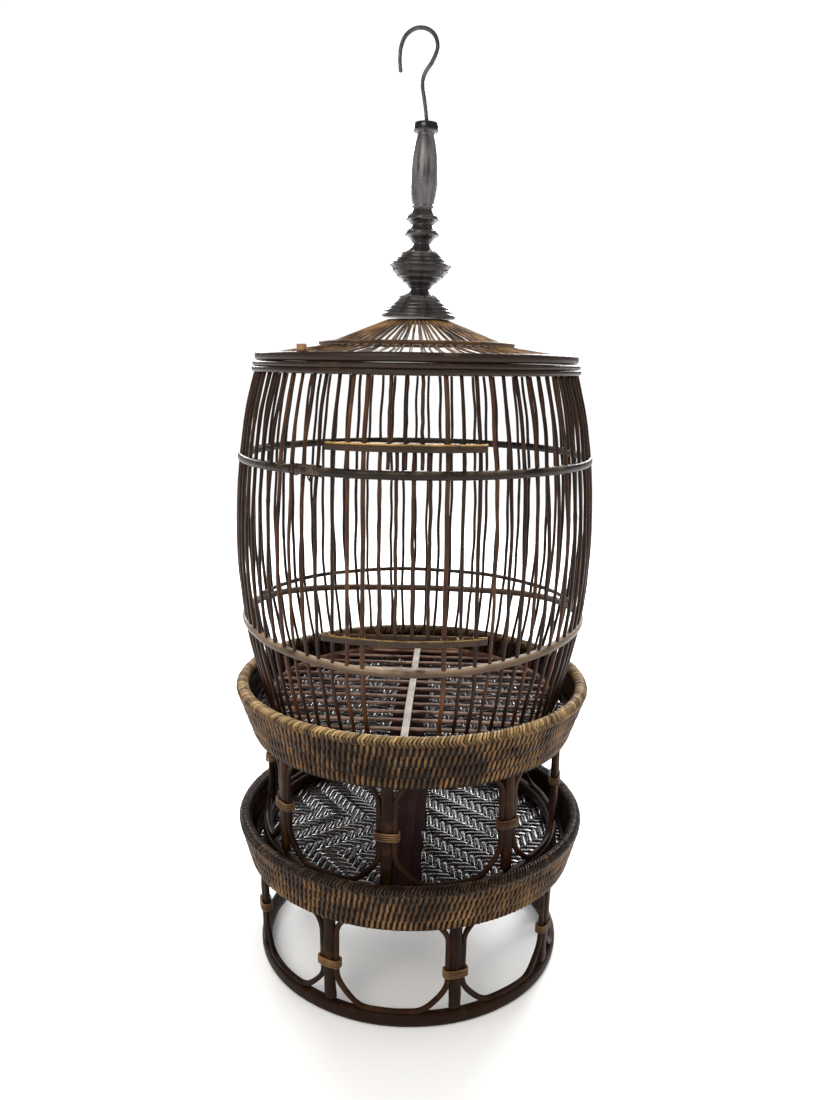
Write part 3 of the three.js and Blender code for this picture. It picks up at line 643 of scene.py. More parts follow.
def band_stitches(skin, stand, inside):
    """Rows of nearly upright cane, each row set between the stitches of the next."""
    _, bottom, crest = round_node(f"{stand}_tray_band")
    top = crest - RIM_ROLL * 0.9
    row_height = (top - bottom) / BAND_ROWS
    stitches = round(2 * math.pi * band_radius(stand, (bottom + top) / 2) / STITCH_PITCH)
    pitch = 360 / stitches
    section = oval(*STITCH, 8, 2.2)
    sweep = np.linspace(-1, 1, 9)
    size = 0.5 + 0.5 * np.sqrt(np.clip(1 - sweep ** 2, 0, 1))
    rise = 2.6 * MM * (1 - np.abs(sweep) ** 2.2) - 3.1 * MM
    for row in range(BAND_ROWS):
        for i in range(stitches):
            length = row_height * rng.uniform(*STITCH_ROWS)
            middle = bottom + (row + 0.5) * row_height + rng.uniform(-0.4, 0.4) * MM
            heights = np.clip(middle + sweep * length / 2, bottom + 0.4 * MM, top + 1 * MM)
            slant = pitch * (0.22 + rng.uniform(-0.08, 0.08))
            degrees = (i + 0.5 * (row % 2)) * pitch + sweep * slant + rng.uniform(-0.1, 0.1)
            face = band_radius(stand, heights) - (TRAY_WALL if inside else 1.1 * MM)
            path = polar(degrees, face - rise * 0.6 if inside else face + rise, heights)
            outward = polar(degrees, -1 if inside else 1, 0)
            tone = rng.uniform(0, 0.35) if inside else rng.uniform(0, 1) ** 1.4
            skin.sweep(path, outward, section, "stitch", size, tone, 0.0 if inside else 0.5)


def band_rim(skin, stand):
    """The rim's braid: strands over the roll that slant one way on top, the other way below."""
    rim, _, crest = round_node(f"{stand}_tray_band")
    middle_radius, middle_height = rim - RIM_ROLL, crest - RIM_ROLL
    strands = round(2 * math.pi * middle_radius / RIM_PITCH)
    pitch = 360 / strands
    section = oval(*RIM_STRAND, 8, 2.1)
    turn = np.radians(np.linspace(*RIM_ENDS, 17))
    fold = math.radians(RIM_FOLD)
    dip = 0.75 * MM * np.exp(-((turn - fold) / 0.16) ** 2)
    slant = np.where(turn > fold, turn - fold, 1.25 * (fold - turn)) * pitch
    material = "braid" if stand == "upper" else "braid_dark"
    for i in range(strands):
        roll = RIM_ROLL - 1.5 * MM + rng.uniform(-0.4, 0.0) * MM - dip
        degrees = i * pitch + slant + rng.uniform(-0.1, 0.1)
        height = middle_height + roll * np.sin(turn)
        path = polar(degrees, middle_radius + roll * np.cos(turn), height)
        outward = polar(degrees, np.cos(turn), 0)
        outward[:, 2] = np.sin(turn)
        # Painted light: towards the front the pale colour grows up to five times stronger, painting
        # the golden light on the rim's front; the roll's top carries real wear
        front = 0.5 + 0.5 * math.cos(math.radians(i * pitch))
        wear = np.clip(np.sin(turn), 0, 1)[:, None] * (0.2 + 0.8 * front) * rng.uniform(0.1, 1)
        skin.sweep(path, outward, section, material, tone=rng.uniform(0, 1) ** 1.3, wear=wear)


def build_band(stand):
    """The tray's wall: a dark core stitched on both faces, a hem at its foot and a braided rim."""
    rim, bottom, crest = round_node(f"{stand}_tray_band")
    top = crest - RIM_ROLL
    skin = Skin()
    heights = np.linspace(bottom + 1 * MM, top + 3 * MM, 5)
    for low, high in zip(heights[:-1], heights[1:]):
        middle = (low + high) / 2
        centre = band_radius(stand, middle) - TRAY_WALL / 2 - 0.9 * MM
        size = [[(high - low) * 1.25, TRAY_WALL - 3.6 * MM]]
        add_ring(skin, centre, middle, oval(1, 1, 10, 3), "core", size)
    add_ring(skin, rim - RIM_ROLL, top, oval(9.6 * MM, 9.6 * MM, 12), "core")
    hem = oval(4.2 * MM, TRAY_WALL * 0.9, 10, 3)
    centre = band_radius(stand, bottom) - TRAY_WALL / 2
    add_ring(skin, centre, bottom + 2.2 * MM, hem, "leg", tone=0.4)
    band_stitches(skin, stand, inside=False)
    band_stitches(skin, stand, inside=True)
    band_rim(skin, stand)
    skin.piece(f"{stand}_tray_band")


def zigzag(index, fold):
    """Counts up and down again, so that a twill's diagonals turn back on themselves."""
    return np.abs((index + fold) % (2 * fold) - fold)


def weave_half(skin, side, edge, top):
    """Twill of glossy strips, three over and three under, on one side of the middle strip."""
    section = oval(WEAVE_STRIP, WEAVE_THICKNESS, 8, 2.1)
    angle = math.radians(WEAVE_TURN[side])
    fold = WEAVE_FOLD[side]
    along_x = np.array([math.cos(angle), math.sin(angle)])
    along_y = np.array([-math.sin(angle), math.cos(angle)])
    reach = int(edge / WEAVE_PITCH) + 2
    step = np.arange(-reach * 2, reach * 2 + 1) / 2
    for line in range(-reach, reach + 1):
        for crosswise in (False, True):
            row, column = (line, step) if crosswise else (step, line)
            along, across = (along_x, along_y) if crosswise else (along_y, along_x)
            points = step[:, None] * WEAVE_PITCH * along + line * WEAVE_PITCH * across
            phase = zigzag(row, fold) + column if side < 0 else row + zigzag(column, fold)
            over = np.clip(2.6 * np.cos((phase - 1) * math.pi / 3), -1, 1)
            over = over if crosswise else -over
            height = top + WEAVE_THICKNESS / 2 * (over - 2) + rng.uniform(-0.1, 0.0) * MM
            beside = points[:, 0] * side > CENTRE_STRIP / 2 - 1.2 * MM
            kept = np.flatnonzero((np.linalg.norm(points, axis=1) < edge) & beside)
            if len(kept) > 3:
                path = np.column_stack([points[kept], height[kept]])
                skin.sweep(path, (0, 0, 1), section, "weave", tone=rng.uniform(0, 1))


def build_tray_floor(stand):
    """A dark backing, the weave on both sides of the middle strip, and a hem round its edge."""
    edge, bottom, top = round_node(f"{stand}_tray_floor")
    backing = bottom + 0.5 * MM
    skin = Skin()
    skin.turned([[MM, bottom], [edge, bottom], [edge, backing], [MM, backing]], "core", 96)
    for side in (1, -1):
        weave_half(skin, side, edge - 1 * MM, top)
    share = np.linspace(-0.5, 0.5, 50)
    lane = CENTRE_STRIP / MIDDLE_LANES
    for i in range(MIDDLE_LANES):
        x = (i - (MIDDLE_LANES - 1) / 2) * lane
        half = math.sqrt((edge - 2 * MM) ** 2 - (abs(x) + lane / 2) ** 2)
        height = top - 0.8 * MM + wobble(share, 0.15 * MM, (3, 7))
        path = np.column_stack([np.full(50, x), share * 2 * half, height])
        skin.sweep(path, (0, 0, 1), oval(lane * 1.02, 1.3 * MM, 10, 5), "middle_strip")
    hem = oval(3.6 * MM, 6.5 * MM, 12, 2.6)
    add_ring(skin, edge - 4 * MM, top + 0.6 * MM, hem, "leg", tone=0.2, wear=0.2)
    skin.piece(f"{stand}_tray_floor")


def build_stand(stand):
    build_foot_ring(stand)
    for index in range(1, LEG_COUNT + 1):
        build_pole(stand, index)
        build_loop(stand, index)
    build_lashings(stand)
    build_band(stand)
    build_tray_floor(stand)


# ---------------------------------------------------------------- cage wall


def hermite(knots, heights):
    """A smooth line through [height, radius] knots."""
    x, y = np.array(sorted(knots)).T
    slope = np.gradient(y, x)
    k = np.clip(np.searchsorted(x, heights) - 1, 0, len(x) - 2)
    span = x[k + 1] - x[k]
    t = (heights - x[k]) / span
    start = (1 + 2 * t) * (1 - t) ** 2 * y[k] + t * (1 - t) ** 2 * span * slope[k]
    return start + t * t * (3 - 2 * t) * y[k + 1] + t * t * (t - 1) * span * slope[k + 1]


def place_angle(place):
    return (place + 0.5) * BAR_PITCH


def from_door(place):
    """How many places a bar is from the first one beside the door."""
    return min(place, BAR_PLACES - 1 - place) - DOOR_BARS // 2


def sill_rise(degrees):
    """How far the sill hoop stands above its level at the doorway."""
    angle = np.radians(degrees)
    return SILL_RISE["sides"] * np.sin(angle) ** 2 + SILL_RISE["back"] * (1 - np.cos(angle)) / 2


def bar_knots(guide, degrees):
    """The [height, radius] points a bar passes; a guide is straight where the door slides."""
    _, belt_bottom, belt_top = round_node("belt_hoop")
    foot, top = (corner.z for corner in cad_box("wall_bars_2"))
    ends = [(foot, BAR_FOOT_RADIUS), BAR_SHOULDER, (top, BAR_TOP_RADIUS)]
    if guide:
        sill_top = SILL_BOTTOM + SILL_HEIGHT
        heights = (SILL_BOTTOM, sill_top + 6 * MM, belt_bottom - 6 * MM, belt_top)
        return ends + [(height, GUIDE_RADIUS) for height in heights]
    sill = (SILL_BOTTOM + SILL_HEIGHT / 2 + sill_rise(degrees), BAR_SILL_RADIUS)
    belt = ((belt_bottom + belt_top) / 2, BAR_BELT_RADIUS)
    return ends + [sill, BAR_BELLY, belt]


def add_bar(skin, degrees, guide, low, high, width=BAR, crooked=1.0, tone=None):
    """One bar: split and scraped by hand, so a little crooked and uneven, with a node or two."""
    steps = max(10, int((high - low) / (7 * MM)))
    heights = np.linspace(low, high, steps)
    share = (heights - low) / (high - low)
    radius = hermite(bar_knots(guide, degrees), heights)
    radius = radius + wobble(share, 0.35 * MM * crooked, (2, 4.5))
    sway = wobble(share, 1.25 * crooked, (1.2, 2.7, 5.5)) * MM
    spread = degrees + np.degrees(sway / radius)
    swell = 1 + wobble(share, 0.07, (3, 9, 17))
    for knot in rng.uniform(0.1, 0.9, 2):
        swell += 0.16 * np.exp(-((share - knot) * (high - low) / (2.4 * MM)) ** 2)
    path, section = polar(spread, radius, heights), oval(width, width * 0.96, 8, 2.5)
    size = np.clip(swell, 0.85, 1.18)
    skin.sweep(path, polar(degrees, 1, 0), section, "bar", size, tone, wear=0.5)


def build_wall():
    low, high = cad_box("wall_bars_2")
    per_panel = (BAR_PLACES - DOOR_BARS) // WALL_PANELS
    for panel in range(WALL_PANELS):
        skin = Skin()
        first = DOOR_BARS // 2 + panel * per_panel
        for place in range(first, first + per_panel):
            guide = from_door(place) < GUIDE_BARS
            jamb = from_door(place) == 0
            width = JAMB_BAR if jamb else BAR * rng.uniform(0.9, 1.08)
            tone = 0.95 if jamb and place > BAR_PLACES / 2 else None
            add_bar(skin, place_angle(place), guide, low.z + 1 * MM, high.z, width,
                    0.35 if guide else 1.0, tone)
        skin.piece(f"wall_bars_{panel + 1}")
    skin = Skin()
    foot = cad_box("bars_over_door")[0].z
    for step in (-1, 0, 1):
        add_bar(skin, step * BAR_PITCH, True, foot, high.z, crooked=0.5)
    skin.piece("bars_over_door")


def add_hoop(skin, radius, width, bottom, top, material="hoop", tone=0.5, wear=1.0,
             uneven=0.4 * MM, squareness=3.0, inner=None, rise=None):
    """A closed hoop, a little uneven, with its upper outer edge worn."""
    share = np.arange(HOOP_STEPS) / HOOP_STEPS
    degrees = share * 360
    outer = radius - uneven + wobble(share, uneven, (3, 5, 11), closed=True)
    inside = outer - width if inner is None else np.minimum(outer - width, inner(degrees))
    middle = (bottom + top) / 2 + wobble(share, uneven * 0.6, (2, 5, 9), closed=True)
    if rise is not None:
        middle = middle + rise(degrees)
    section = oval(1, 1, 14, squareness)
    size = np.column_stack([np.full(HOOP_STEPS, top - bottom), outer - inside])
    worn = np.clip(-section[:, 0] * 2.2 - 0.35, 0, 1) * np.reshape(wear, (-1, 1))
    add_ring(skin, (outer + inside) / 2, middle, section, material, size, tone, worn, HOOP_STEPS)


def straight_front(distance, reach):
    """Inner radius of a hoop whose inner edge runs straight across the front."""
    def inner(degrees):
        turned = (degrees + 180) % 360 - 180
        flat = distance / np.cos(np.radians(np.clip(turned, -80, 80)))
        return np.where(np.abs(turned) < reach, flat, 1.0)

    return inner


def build_sill_hoop():
    """The hoop at the doorway's foot: straight inside across the front, and higher at the sides."""
    radius = round_node("sill_hoop")[0]
    reach = math.degrees(math.acos(SILL_CHORD / (radius - HOOP_WIDTH)))
    front = np.clip(np.cos(np.radians(np.arange(HOOP_STEPS) * 360 / HOOP_STEPS)), 0, 1)
    skin = Skin()
    add_hoop(skin, radius, HOOP_WIDTH, SILL_BOTTOM, SILL_BOTTOM + SILL_HEIGHT, "sill",
             wear=0.25 + 0.75 * front, squareness=3.4, inner=straight_front(SILL_CHORD, reach),
             rise=sill_rise)
    skin.piece("sill_hoop")


def build_belt_hoop():
    radius, bottom, top = round_node("belt_hoop")
    skin = Skin()
    add_hoop(skin, radius, HOOP_WIDTH, bottom, top - BELT_GAP, "belt", wear=0.8, uneven=0.3 * MM)
    add_scarf(skin, radius, bottom, top)
    add_binding(skin, radius, bottom, top)
    skin.piece("belt_hoop")


def build_top_hoops():
    """The wall's top hoop, of two layers, and the roof's rim and middle hoops."""
    radius, bottom, top = round_node("wall_top_hoop")
    middle = bottom + (top - bottom) * 0.52
    skin = Skin()
    add_hoop(skin, radius, 10 * MM, bottom, middle + 0.5 * MM, "rim_hoop", 0.3, 0.35, 0.3 * MM)
    add_hoop(skin, radius - 0.5 * MM, 9.6 * MM, middle, top, "rim_hoop", 0.5, 0.9, 0.3 * MM)
    skin.piece("wall_top_hoop")

    radius, bottom, top = round_node("roof_rim_hoop")
    skin = Skin()
    add_hoop(skin, radius, 8.6 * MM, bottom, top, "rim_hoop", 0.4, 0.9, 0.5 * MM)
    skin.piece("roof_rim_hoop")

    radius, bottom, top = round_node("roof_middle_hoop")
    skin = Skin()
    add_hoop(skin, radius, 5.6 * MM, bottom + 0.4 * MM, top, "splint", 0.8, 1.0, 0.25 * MM)
    skin.piece("roof_middle_hoop")


def build_floor_hoop():
    """Three hoops hold the bars' feet: one inside them, one outside and a flat one below."""
    radius, bottom, top = round_node("floor_hoop")
    inside = BAR_FOOT_RADIUS - BAR * 0.55
    skin = Skin()
    add_hoop(skin, inside, 3 * MM, bottom, top, "slat", 0.7, 1.0, 0.2 * MM)
    add_hoop(skin, radius, 4 * MM, bottom, top - 2 * MM, wear=0.5, uneven=0.2 * MM)
    add_hoop(skin, radius - 1 * MM, 6.6 * MM, bottom, bottom + 4 * MM, wear=0, uneven=0.1 * MM)
    skin.piece("floor_hoop")


def build_rear_half_hoop():
    low, high = cad_box("rear_half_hoop")
    steps = 120
    degrees = np.linspace(100, 260, steps)
    height = (low.z + high.z) / 2 + wobble(np.linspace(0, 1, steps), 0.5 * MM, (1.5, 4))
    path = polar(degrees, high.y - 1.6 * MM, height)
    section, size = oval(4.5 * MM, 3.1 * MM, 10, 2.6), eased(steps, 0.48, 3 * MM)
    skin = Skin()
    skin.sweep(path, polar(degrees, 1, 0), section, "hoop", size, 0.7, 0.4)
    skin.piece("rear_half_hoop")


def add_tie(skin, at, lean, centre, depth, rise, section, material, tone, wear=0.0, steps=26):
    """One turn round a hoop's [radius, height] centre, at an angle from the door's middle."""
    turn = np.linspace(0, 2 * math.pi, steps, endpoint=False)
    radius, height = centre
    tie = polar(at + np.sin(turn) * lean, radius + np.cos(turn) * depth,
                height + np.sin(turn) * rise)
    away = unit(tie - polar(at, radius, height))
    skin.sweep(tie, away, section, material, 1, tone, wear, closed=True)


def add_scarf(skin, radius, bottom, top):
    """The belt hoop's ends lie over each other at the front left, held by two thin dark ties."""
    steps = 30
    middle, height = (bottom + top) / 2, top - bottom
    arch = np.sin(math.pi * np.linspace(0, 1, steps))
    degrees = np.linspace(*SCARF, steps)
    path = polar(degrees, radius - HOOP_WIDTH / 2, middle + arch * 0.8 * MM)
    size = np.column_stack([0.92 + 0.2 * arch ** 0.6, np.ones(steps)])
    section = oval(height, HOOP_WIDTH - 0.2 * MM, 14, 3)
    skin.sweep(path, polar(degrees, 1, 0), section, "rim_hoop", size, 0.35, 0.3)
    depth = 4.6 * MM
    for at in SCARF_TIES:
        add_tie(skin, at, 0.05, (radius - depth, middle), depth * 0.98, height * 0.6,
                oval(1.6 * MM, 1.1 * MM, 8), "core", 0.2, steps=28)


def add_binding(skin, radius, bottom, top):
    """A ragged scrap of dark cane tied round the belt hoop, its ends hanging."""
    middle, depth, rise = (bottom + top) / 2, 4.7 * MM, (top - bottom) * 0.58
    for at in np.linspace(*BINDING, BINDING_TURNS):
        add_tie(skin, at, rng.uniform(-0.25, 0.25), (radius - depth, middle), depth, rise,
                oval(1.9 * MM, 1 * MM, 8), "rim_hoop", rng.uniform(0, 0.4), 0.2)
    share = np.linspace(0, 1, 12)
    for at in BINDING_ENDS:
        length = rng.uniform(5, 10) * MM
        degrees = at + wobble(share, 0.4, (0.6, 1.3))
        outer = radius - 1.2 * MM + share * rng.uniform(-3, 0) * MM
        path = polar(degrees, outer, bottom + 2 * MM - share * length)
        section = oval(2.1 * MM, 0.9 * MM, 8)
        skin.sweep(path, polar(at, 1, 0), section, "core", 1 - 0.55 * share, 0.4)


# ---------------------------------------------------------------- cage floor and roof


def build_floor_slats():
    """The slats across the floor, and one under them that ties them together."""
    low, high = cad_box("floor_slats")
    reach = cad_box("floor_hoop")[1].x - 8.3 * MM
    middle = high.z - SLAT_THICKNESS / 2 - 0.1 * MM
    section = oval(SLAT_WIDTH, SLAT_THICKNESS, 12, 3.2)
    across, up = np.abs(section[:, 0]) / SLAT_WIDTH, section[:, 1] / SLAT_THICKNESS
    worn = np.clip(across * 2 + up - 0.5, 0, 1)
    steps = 40
    share = np.linspace(0, 1, steps)
    skin = Skin()
    for i in range(SLAT_COUNT):
        y = (i - (SLAT_COUNT - 1) / 2) * SLAT_PITCH
        half = math.sqrt(reach ** 2 - (abs(y) + SLAT_WIDTH / 2) ** 2) - 1 * MM
        path = np.column_stack([
            (share * 2 - 1) * half,
            y + wobble(share, 0.5 * MM, (1.2, 3)),
            middle + wobble(share, 0.1 * MM, (2, 4)),
        ])
        skin.sweep(path, (0, 0, 1), section, "slat", eased(steps, 2 * half, 1.5 * MM), wear=worn)
    length = (SLAT_COUNT - 1) * SLAT_PITCH + SLAT_WIDTH
    share = np.linspace(-0.5, 0.5, 30)
    height = low.z + SLAT_THICKNESS / 2 + 0.05 * MM
    path = np.column_stack([np.zeros(30), share * length, np.full(30, height)])
    skin.sweep(path, (0, 0, 1), oval(SLAT_WIDTH, SLAT_THICKNESS, 12, 3), "slat", tone=0.2)
    skin.piece("floor_slats")


def build_floor_strip():
    low, high = cad_box("floor_strip")
    steps, length = 60, high.y - low.y
    share = np.linspace(0, 1, steps)
    path = np.column_stack([
        wobble(share, 0.3 * MM, (1, 2.4)), low.y + share * length,
        np.full(steps, (low.z + high.z) / 2),
    ])
    section = oval(high.x - low.x - 0.6 * MM, high.z - low.z, 12, 3)
    skin = Skin()
    skin.sweep(path, (0, 0, 1), section, "pale", eased(steps, length, 1 * MM), wear=0.6)
    skin.piece("floor_strip")


def build_splints():
    """The roof's splints, bent over the middle hoop, and the hub that holds them."""
    line = np.array([SPLINT_START, SPLINT_MIDDLE, SPLINT_END])
    distance = np.linspace(line[0, 0], line[-1, 0], 24)
    height = np.interp(distance, line[:, 0], line[:, 1])
    height[1:-1] = (height[:-2] + height[1:-1] * 2 + height[2:]) / 4
    share = np.linspace(0, 1, 24)
    section = oval(SPLINT, SPLINT * 0.96, 8, 2.6)
    worn = np.clip(section[:, 1] / SPLINT * 2.4, 0, 1) * 0.8
    skin = Skin()
    for i in range(SPLINT_COUNT):
        sway = wobble(share, 0.9 * MM, (0.8, 2.2)) * share
        degrees = i * 360 / SPLINT_COUNT + np.degrees(sway / distance)
        path = polar(degrees, distance, height + wobble(share, 0.2 * MM, (2, 5)))
        size = 1 + wobble(share, 0.09, (3, 6))
        skin.sweep(path, (0, 0, 1), section, "splint", size, wear=worn)
    top = cad_box("roof_splints")[1].z
    hub = oval(3.6 * MM, 12.4 * MM, 10, 4)
    add_ring(skin, HUB_RADIUS, top - 2.2 * MM, hub, "bar", steps=60)
    skin.piece("roof_splints")


def build_rim_block():
    low, high = cad_box("roof_rim_block")
    around = unit(polar(angle_of("roof_rim_block") + 90, 1, 0))
    share = np.linspace(-0.5, 0.5, 14)
    path = np.array((low + high) / 2) + share[:, None] * BLOCK_LENGTH * around
    section = oval(4.8 * MM, high.z - low.z, 16, 6)
    skin = Skin()
    skin.sweep(path, (0, 0, 1), section, "bare", eased(14, BLOCK_LENGTH, 0.7 * MM), wear=0.6)
    skin.piece("roof_rim_block")


# ---------------------------------------------------------------- door


def arc(radius, start, end, steps):
    return polar(np.linspace(start, end, steps), radius, 0)[:, :2].tolist()


def slot_outline(degrees, inner, outer, width):
    half = math.degrees(width / 2 / GUIDE_RADIUS)
    corners = ((-half, inner), (half, inner), (half, outer), (-half, outer))
    return [polar(degrees + turn, radius, 0)[:2].tolist() for turn, radius in corners]


def build_rail(node, open_slots, slots):
    """A rail, curved outside and straight inside, with a notch or hole for each bar it passes."""
    low, high = cad_box(node)
    radius, half = -low.y, high.x
    end = math.degrees(math.asin(half / radius))
    outline = arc(radius - 0.3 * MM, -end, end, 36) + [[half, -DOOR_CHORD], [-half, -DOOR_CHORD]]
    skin = Skin()
    if open_slots:
        reach = GUIDE_RADIUS + BAR / 2 + 0.6 * MM
        for degrees in sorted(slots, reverse=True):
            a, b, c, d = slot_outline(degrees, DOOR_CHORD, reach, BAR + 1.8 * MM)
            a[1], b[1] = -DOOR_CHORD, -DOOR_CHORD
            outline[-1:-1] = [b, c, d, a]
        skin.plate([outline], low.z, high.z, "rail")
    else:
        reach = BAR / 2 + SLOT_GAP
        inner, outer = GUIDE_RADIUS - reach, GUIDE_RADIUS + reach
        holes = [slot_outline(degrees, inner, outer, 2 * reach) for degrees in slots]
        skin.plate([outline] + holes, low.z, low.z + BOTTOM_RAIL_HEIGHT, "rail", 0.5)
    bevel(skin.piece(node), RAIL_BEVEL)


def build_door():
    half = DOOR_BARS // 2
    door_angles = [(i - (DOOR_BARS - 1) / 2) * BAR_PITCH for i in range(DOOR_BARS)]
    guides = [(half + 0.5 + i) * BAR_PITCH for i in range(GUIDE_BARS)]
    guides += [-angle for angle in guides]
    over_door = [-BAR_PITCH, 0, BAR_PITCH]
    build_rail("door_top_rail", True, guides + over_door)
    build_rail("door_bottom_rail", False, guides)
    low, high = cad_box("door_bottom_rail")
    skin = Skin()
    for degrees in door_angles:
        add_bar(skin, degrees, True, low.z + 3 * MM, high.z, crooked=0.5)
    skin.piece("door_bottom_rail", stands_for=False, name="door_bars_look")


# ---------------------------------------------------------------- spire and hook


def spire_place():
    """Where the spire's base stands and how it leans, from the hook's joint."""
    joint = JOINTS["hook_swivel"]
    axis = Vector(joint["axis"]).normalized()
    base = Vector(joint["pos_m"]) - axis * HANDLE_TOP
    lean = Vector((0, 0, 1)).rotation_difference(axis)
    return Matrix.Translation(base) @ lean.to_matrix().to_4x4()


def moulding(stations):
    """A profile in metres from [radius, height, bulge] stations in mm, bulging between them."""
    points = []
    t = np.linspace(0, 1, 9)[:-1, None]
    for (*start, bulge), (*end, _) in zip(stations[:-1], stations[1:]):
        start, line = np.array(start), np.subtract(end, start)
        normal = np.array([line[1], -line[0]]) / math.hypot(*line)
        points.append(start + line * t + normal * (4 * bulge * t * (1 - t)))
    points.append([stations[-1][:2]])
    return np.concatenate(points) * MM


def edge_wear(profile):
    """Wear where the profile sticks out furthest from its neighbours."""
    radius = profile[:, 0]
    around = np.convolve(np.pad(radius, 5, "edge"), np.ones(11) / 11, "valid")
    return np.clip((radius - around) / (1.2 * MM), 0, 1)


def build_finial(place):
    profile = moulding([
        (1, -0.6, 0), (35.6, -0.6, 0.3), (36.9, 1.2, 0.5), (35.4, 3.6, -0.4),  # the stepped base
        (34.4, 4.2, 0.3), (33.8, 6.4, -0.3), (31.2, 7.4, 0.5), (29.8, 10.4, -0.4),
        (27.8, 11.2, 0.5), (25.6, 14.6, -0.4), (24, 15.2, 0.9), (19.2, 20, -1.6),
        (10.2, 26.4, -0.5), (10.6, 28, -0.8), (15.6, 33.4, 0.7), (16.8, 34.6, -0.3),  # big disc
        (21.8, 38.4, 0.6), (23, 39.8, -0.2), (26.6, 43.4, 0.3), (27.4, 45.4, -0.4),
        (30.3, 49.2, 0.2), (30.4, 50.4, 0.1), (27.2, 52.4, -0.2), (26.4, 53.6, 0.5),
        (23.2, 56.4, -0.3), (22.2, 57.4, 0.6), (18.8, 61.4, -1.8),
        (9, 69.4, -0.4), (9.2, 71.4, -0.9), (15.6, 77.8, 0.5), (16.8, 79.8, 0.5),  # two small ones
        (15.4, 81.8, -0.9), (11, 87.4, -0.3), (11.3, 89, -0.5), (15.8, 92.6, 0.4),
        (16.4, 94, 0.4), (15.2, 95.6, -0.6), (10.9, 100.6, -0.1), (9.8, 103.3, 0), (1, 103.3, 0),
    ])
    skin = Skin()
    skin.turned(profile, "finial", 96, edge_wear(profile), place)
    skin.piece("finial")


def build_handle(place):
    """The grip, with a darker disc on top."""
    foot = HANDLE_BOTTOM / MM
    profile = moulding([
        (1, foot, 0), (9.9, foot, 0.3), (10.4, foot + 2.6, -0.2), (10.3, foot + 3.6, 0.9),
        (13.4, foot + 32, 1.1), (9.2, foot + 65.6, -0.2), (9.2, foot + 67.4, -0.4),
        (10, foot + 68.8, 0.2), (11.6, foot + 70.4, 0), (2.3, foot + 70.6, 0), (2.1, foot + 66, 0),
        (1, foot + 66, 0),
    ])
    skin = Skin()
    skin.turned(profile, "handle", 72, edge_wear(profile) * 0.5 + 0.25, place)
    disc = moulding([
        (2.3, foot + 70.2, 0), (11.7, foot + 70.2, 0.2), (12.3, foot + 71.6, 0.2),
        (12.1, foot + 76.4, 0.3), (10.6, foot + 78, 0), (2.3, foot + 78, 0),
    ])
    skin.turned(disc, "disc", 72, edge_wear(disc) * 0.4, place)
    skin.piece("handle")


def build_hook(place):
    """One wire: a shank that bends left and right, and a round hook open to the left."""
    route = np.array([
        (0, -13), (0, 2), (-2.4, 18), (-5.2, 34), (-3.2, 44), (3.6, 55), (7.8, 67),
        (4.6, 77.5), (-3.6, 83), (-13.6, 83), (-22.4, 77), (-26.8, 67), (-27.6, 55), (-26.4, 44),
    ], float) * MM
    knots = np.arange(len(route), dtype=float)
    fine = np.linspace(0, len(route) - 1, 150)
    across = hermite(list(zip(knots, route[:, 0])), fine)
    height = hermite(list(zip(knots, route[:, 1])), fine)
    path = np.column_stack([across, np.zeros(150), HANDLE_TOP + height])
    path = path @ np.array(place.to_3x3()).T + np.array(place.translation)
    size = eased(150, distances(path)[-1], HOOK_WIRE / 3)
    skin = Skin()
    skin.sweep(path, (0, 1, 0), oval(HOOK_WIRE, HOOK_WIRE, 16), "iron", size)
    skin.piece("hook")


# ---------------------------------------------------------------- stage, light and camera


def build_stage():
    graph = Graph("stage")
    place = graph.add("ShaderNodeTexCoord").outputs["Object"]
    mottle = graph.spread(graph.noise(place, 3), 0.3, 0.7)
    colour = graph.blend(mottle, rgb(251, 251, 251), rgb(253, 253, 253))
    material = graph.finish(colour, 1.0, Specular_IOR_Level=0.0)
    bpy.ops.mesh.primitive_plane_add(size=30)
    floor = bpy.context.object
    floor.name = "stage_floor"
    floor.data.materials.append(material)


def area_light(name, location, target, size, power, colour=(1, 1, 1)):
    data = bpy.data.lights.new(name, "AREA")
    data.shape = "RECTANGLE"
    data.size, data.size_y = size
    data.energy = power
    data.color = colour
    light = bpy.data.objects.new(name, data)
    light.location = location
    light.rotation_mode = "QUATERNION"
    light.rotation_quaternion = (Vector(target) - Vector(location)).to_track_quat("-Z", "Y")
    bpy.context.collection.objects.link(light)


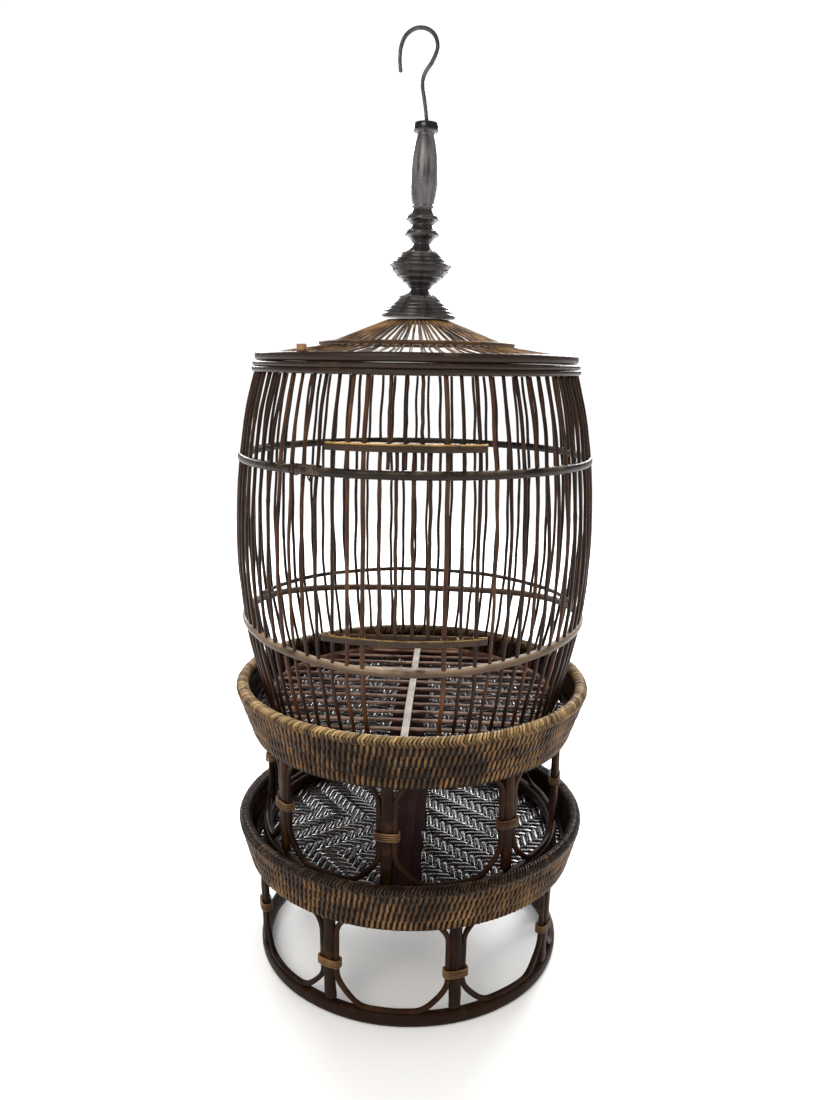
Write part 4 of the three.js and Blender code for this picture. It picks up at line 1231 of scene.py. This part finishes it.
def build_world():
    """A white room all round, which gloss mirrors as a dim one, so that dark cane stays dark."""
    world = bpy.data.worlds.new("studio")
    world.use_nodes = True
    nodes, links = world.node_tree.nodes, world.node_tree.links
    background = nodes["Background"]
    background.inputs["Color"].default_value = (1, 1, 1, 1)
    path = nodes.new("ShaderNodeLightPath")
    strength = nodes.new("ShaderNodeMapRange")
    strength.inputs["To Min"].default_value = 1.06
    strength.inputs["To Max"].default_value = 0.22
    links.new(path.outputs["Is Glossy Ray"], strength.inputs["Value"])
    links.new(strength.outputs["Result"], background.inputs["Strength"])
    bpy.context.scene.world = world
    bpy.context.scene.view_settings.view_transform = "Standard"


def build_lights():
    area_light("window_right", (0.9, 1.9, 1.5), (0, 0, 0.15), (0.9, 0.7), 46)
    area_light("window_left", (-1.1, 1.8, 1.4), (0, 0, 0.2), (0.8, 0.6), 26)
    area_light("window_back", (0.3, 2.4, 0.95), (0, 0, 0.15), (1.5, 0.35), 8)
    area_light("front_soft", (-0.9, -2.2, 1.9), (0, 0, 0.4), (1.4, 1.0), 24, (1, 0.9, 0.76))


def build_camera():
    """The photograph's camera: a little to the right of the door's middle, and looking down."""
    place = (-1.4 * MM, -957.8 * MM, 637.3 * MM)
    pitch, roll, turn = math.radians(11.51), math.radians(0.81), math.radians(2.8)
    data = bpy.data.cameras.new("photo_camera")
    data.sensor_width = 36
    data.lens = 30.39
    data.clip_start, data.clip_end = 0.05, 60
    camera = bpy.data.objects.new("photo_camera", data)
    aim = Matrix.Rotation(turn, 4, "Z") @ Matrix.Translation(place)
    tilt = Matrix.Rotation(math.pi / 2 - pitch, 4, "X") @ Matrix.Rotation(roll, 4, "Z")
    camera.matrix_world = aim @ tilt
    bpy.context.collection.objects.link(camera)
    bpy.context.scene.camera = camera


build_stand("lower")
build_stand("upper")
build_wall()
build_sill_hoop()
build_belt_hoop()
build_top_hoops()
build_floor_hoop()
build_rear_half_hoop()
build_floor_slats()
build_floor_strip()
build_splints()
build_rim_block()
build_door()
spire = spire_place()
build_finial(spire)
build_handle(spire)
build_hook(spire)
build_stage()
build_world()
build_lights()
build_camera()
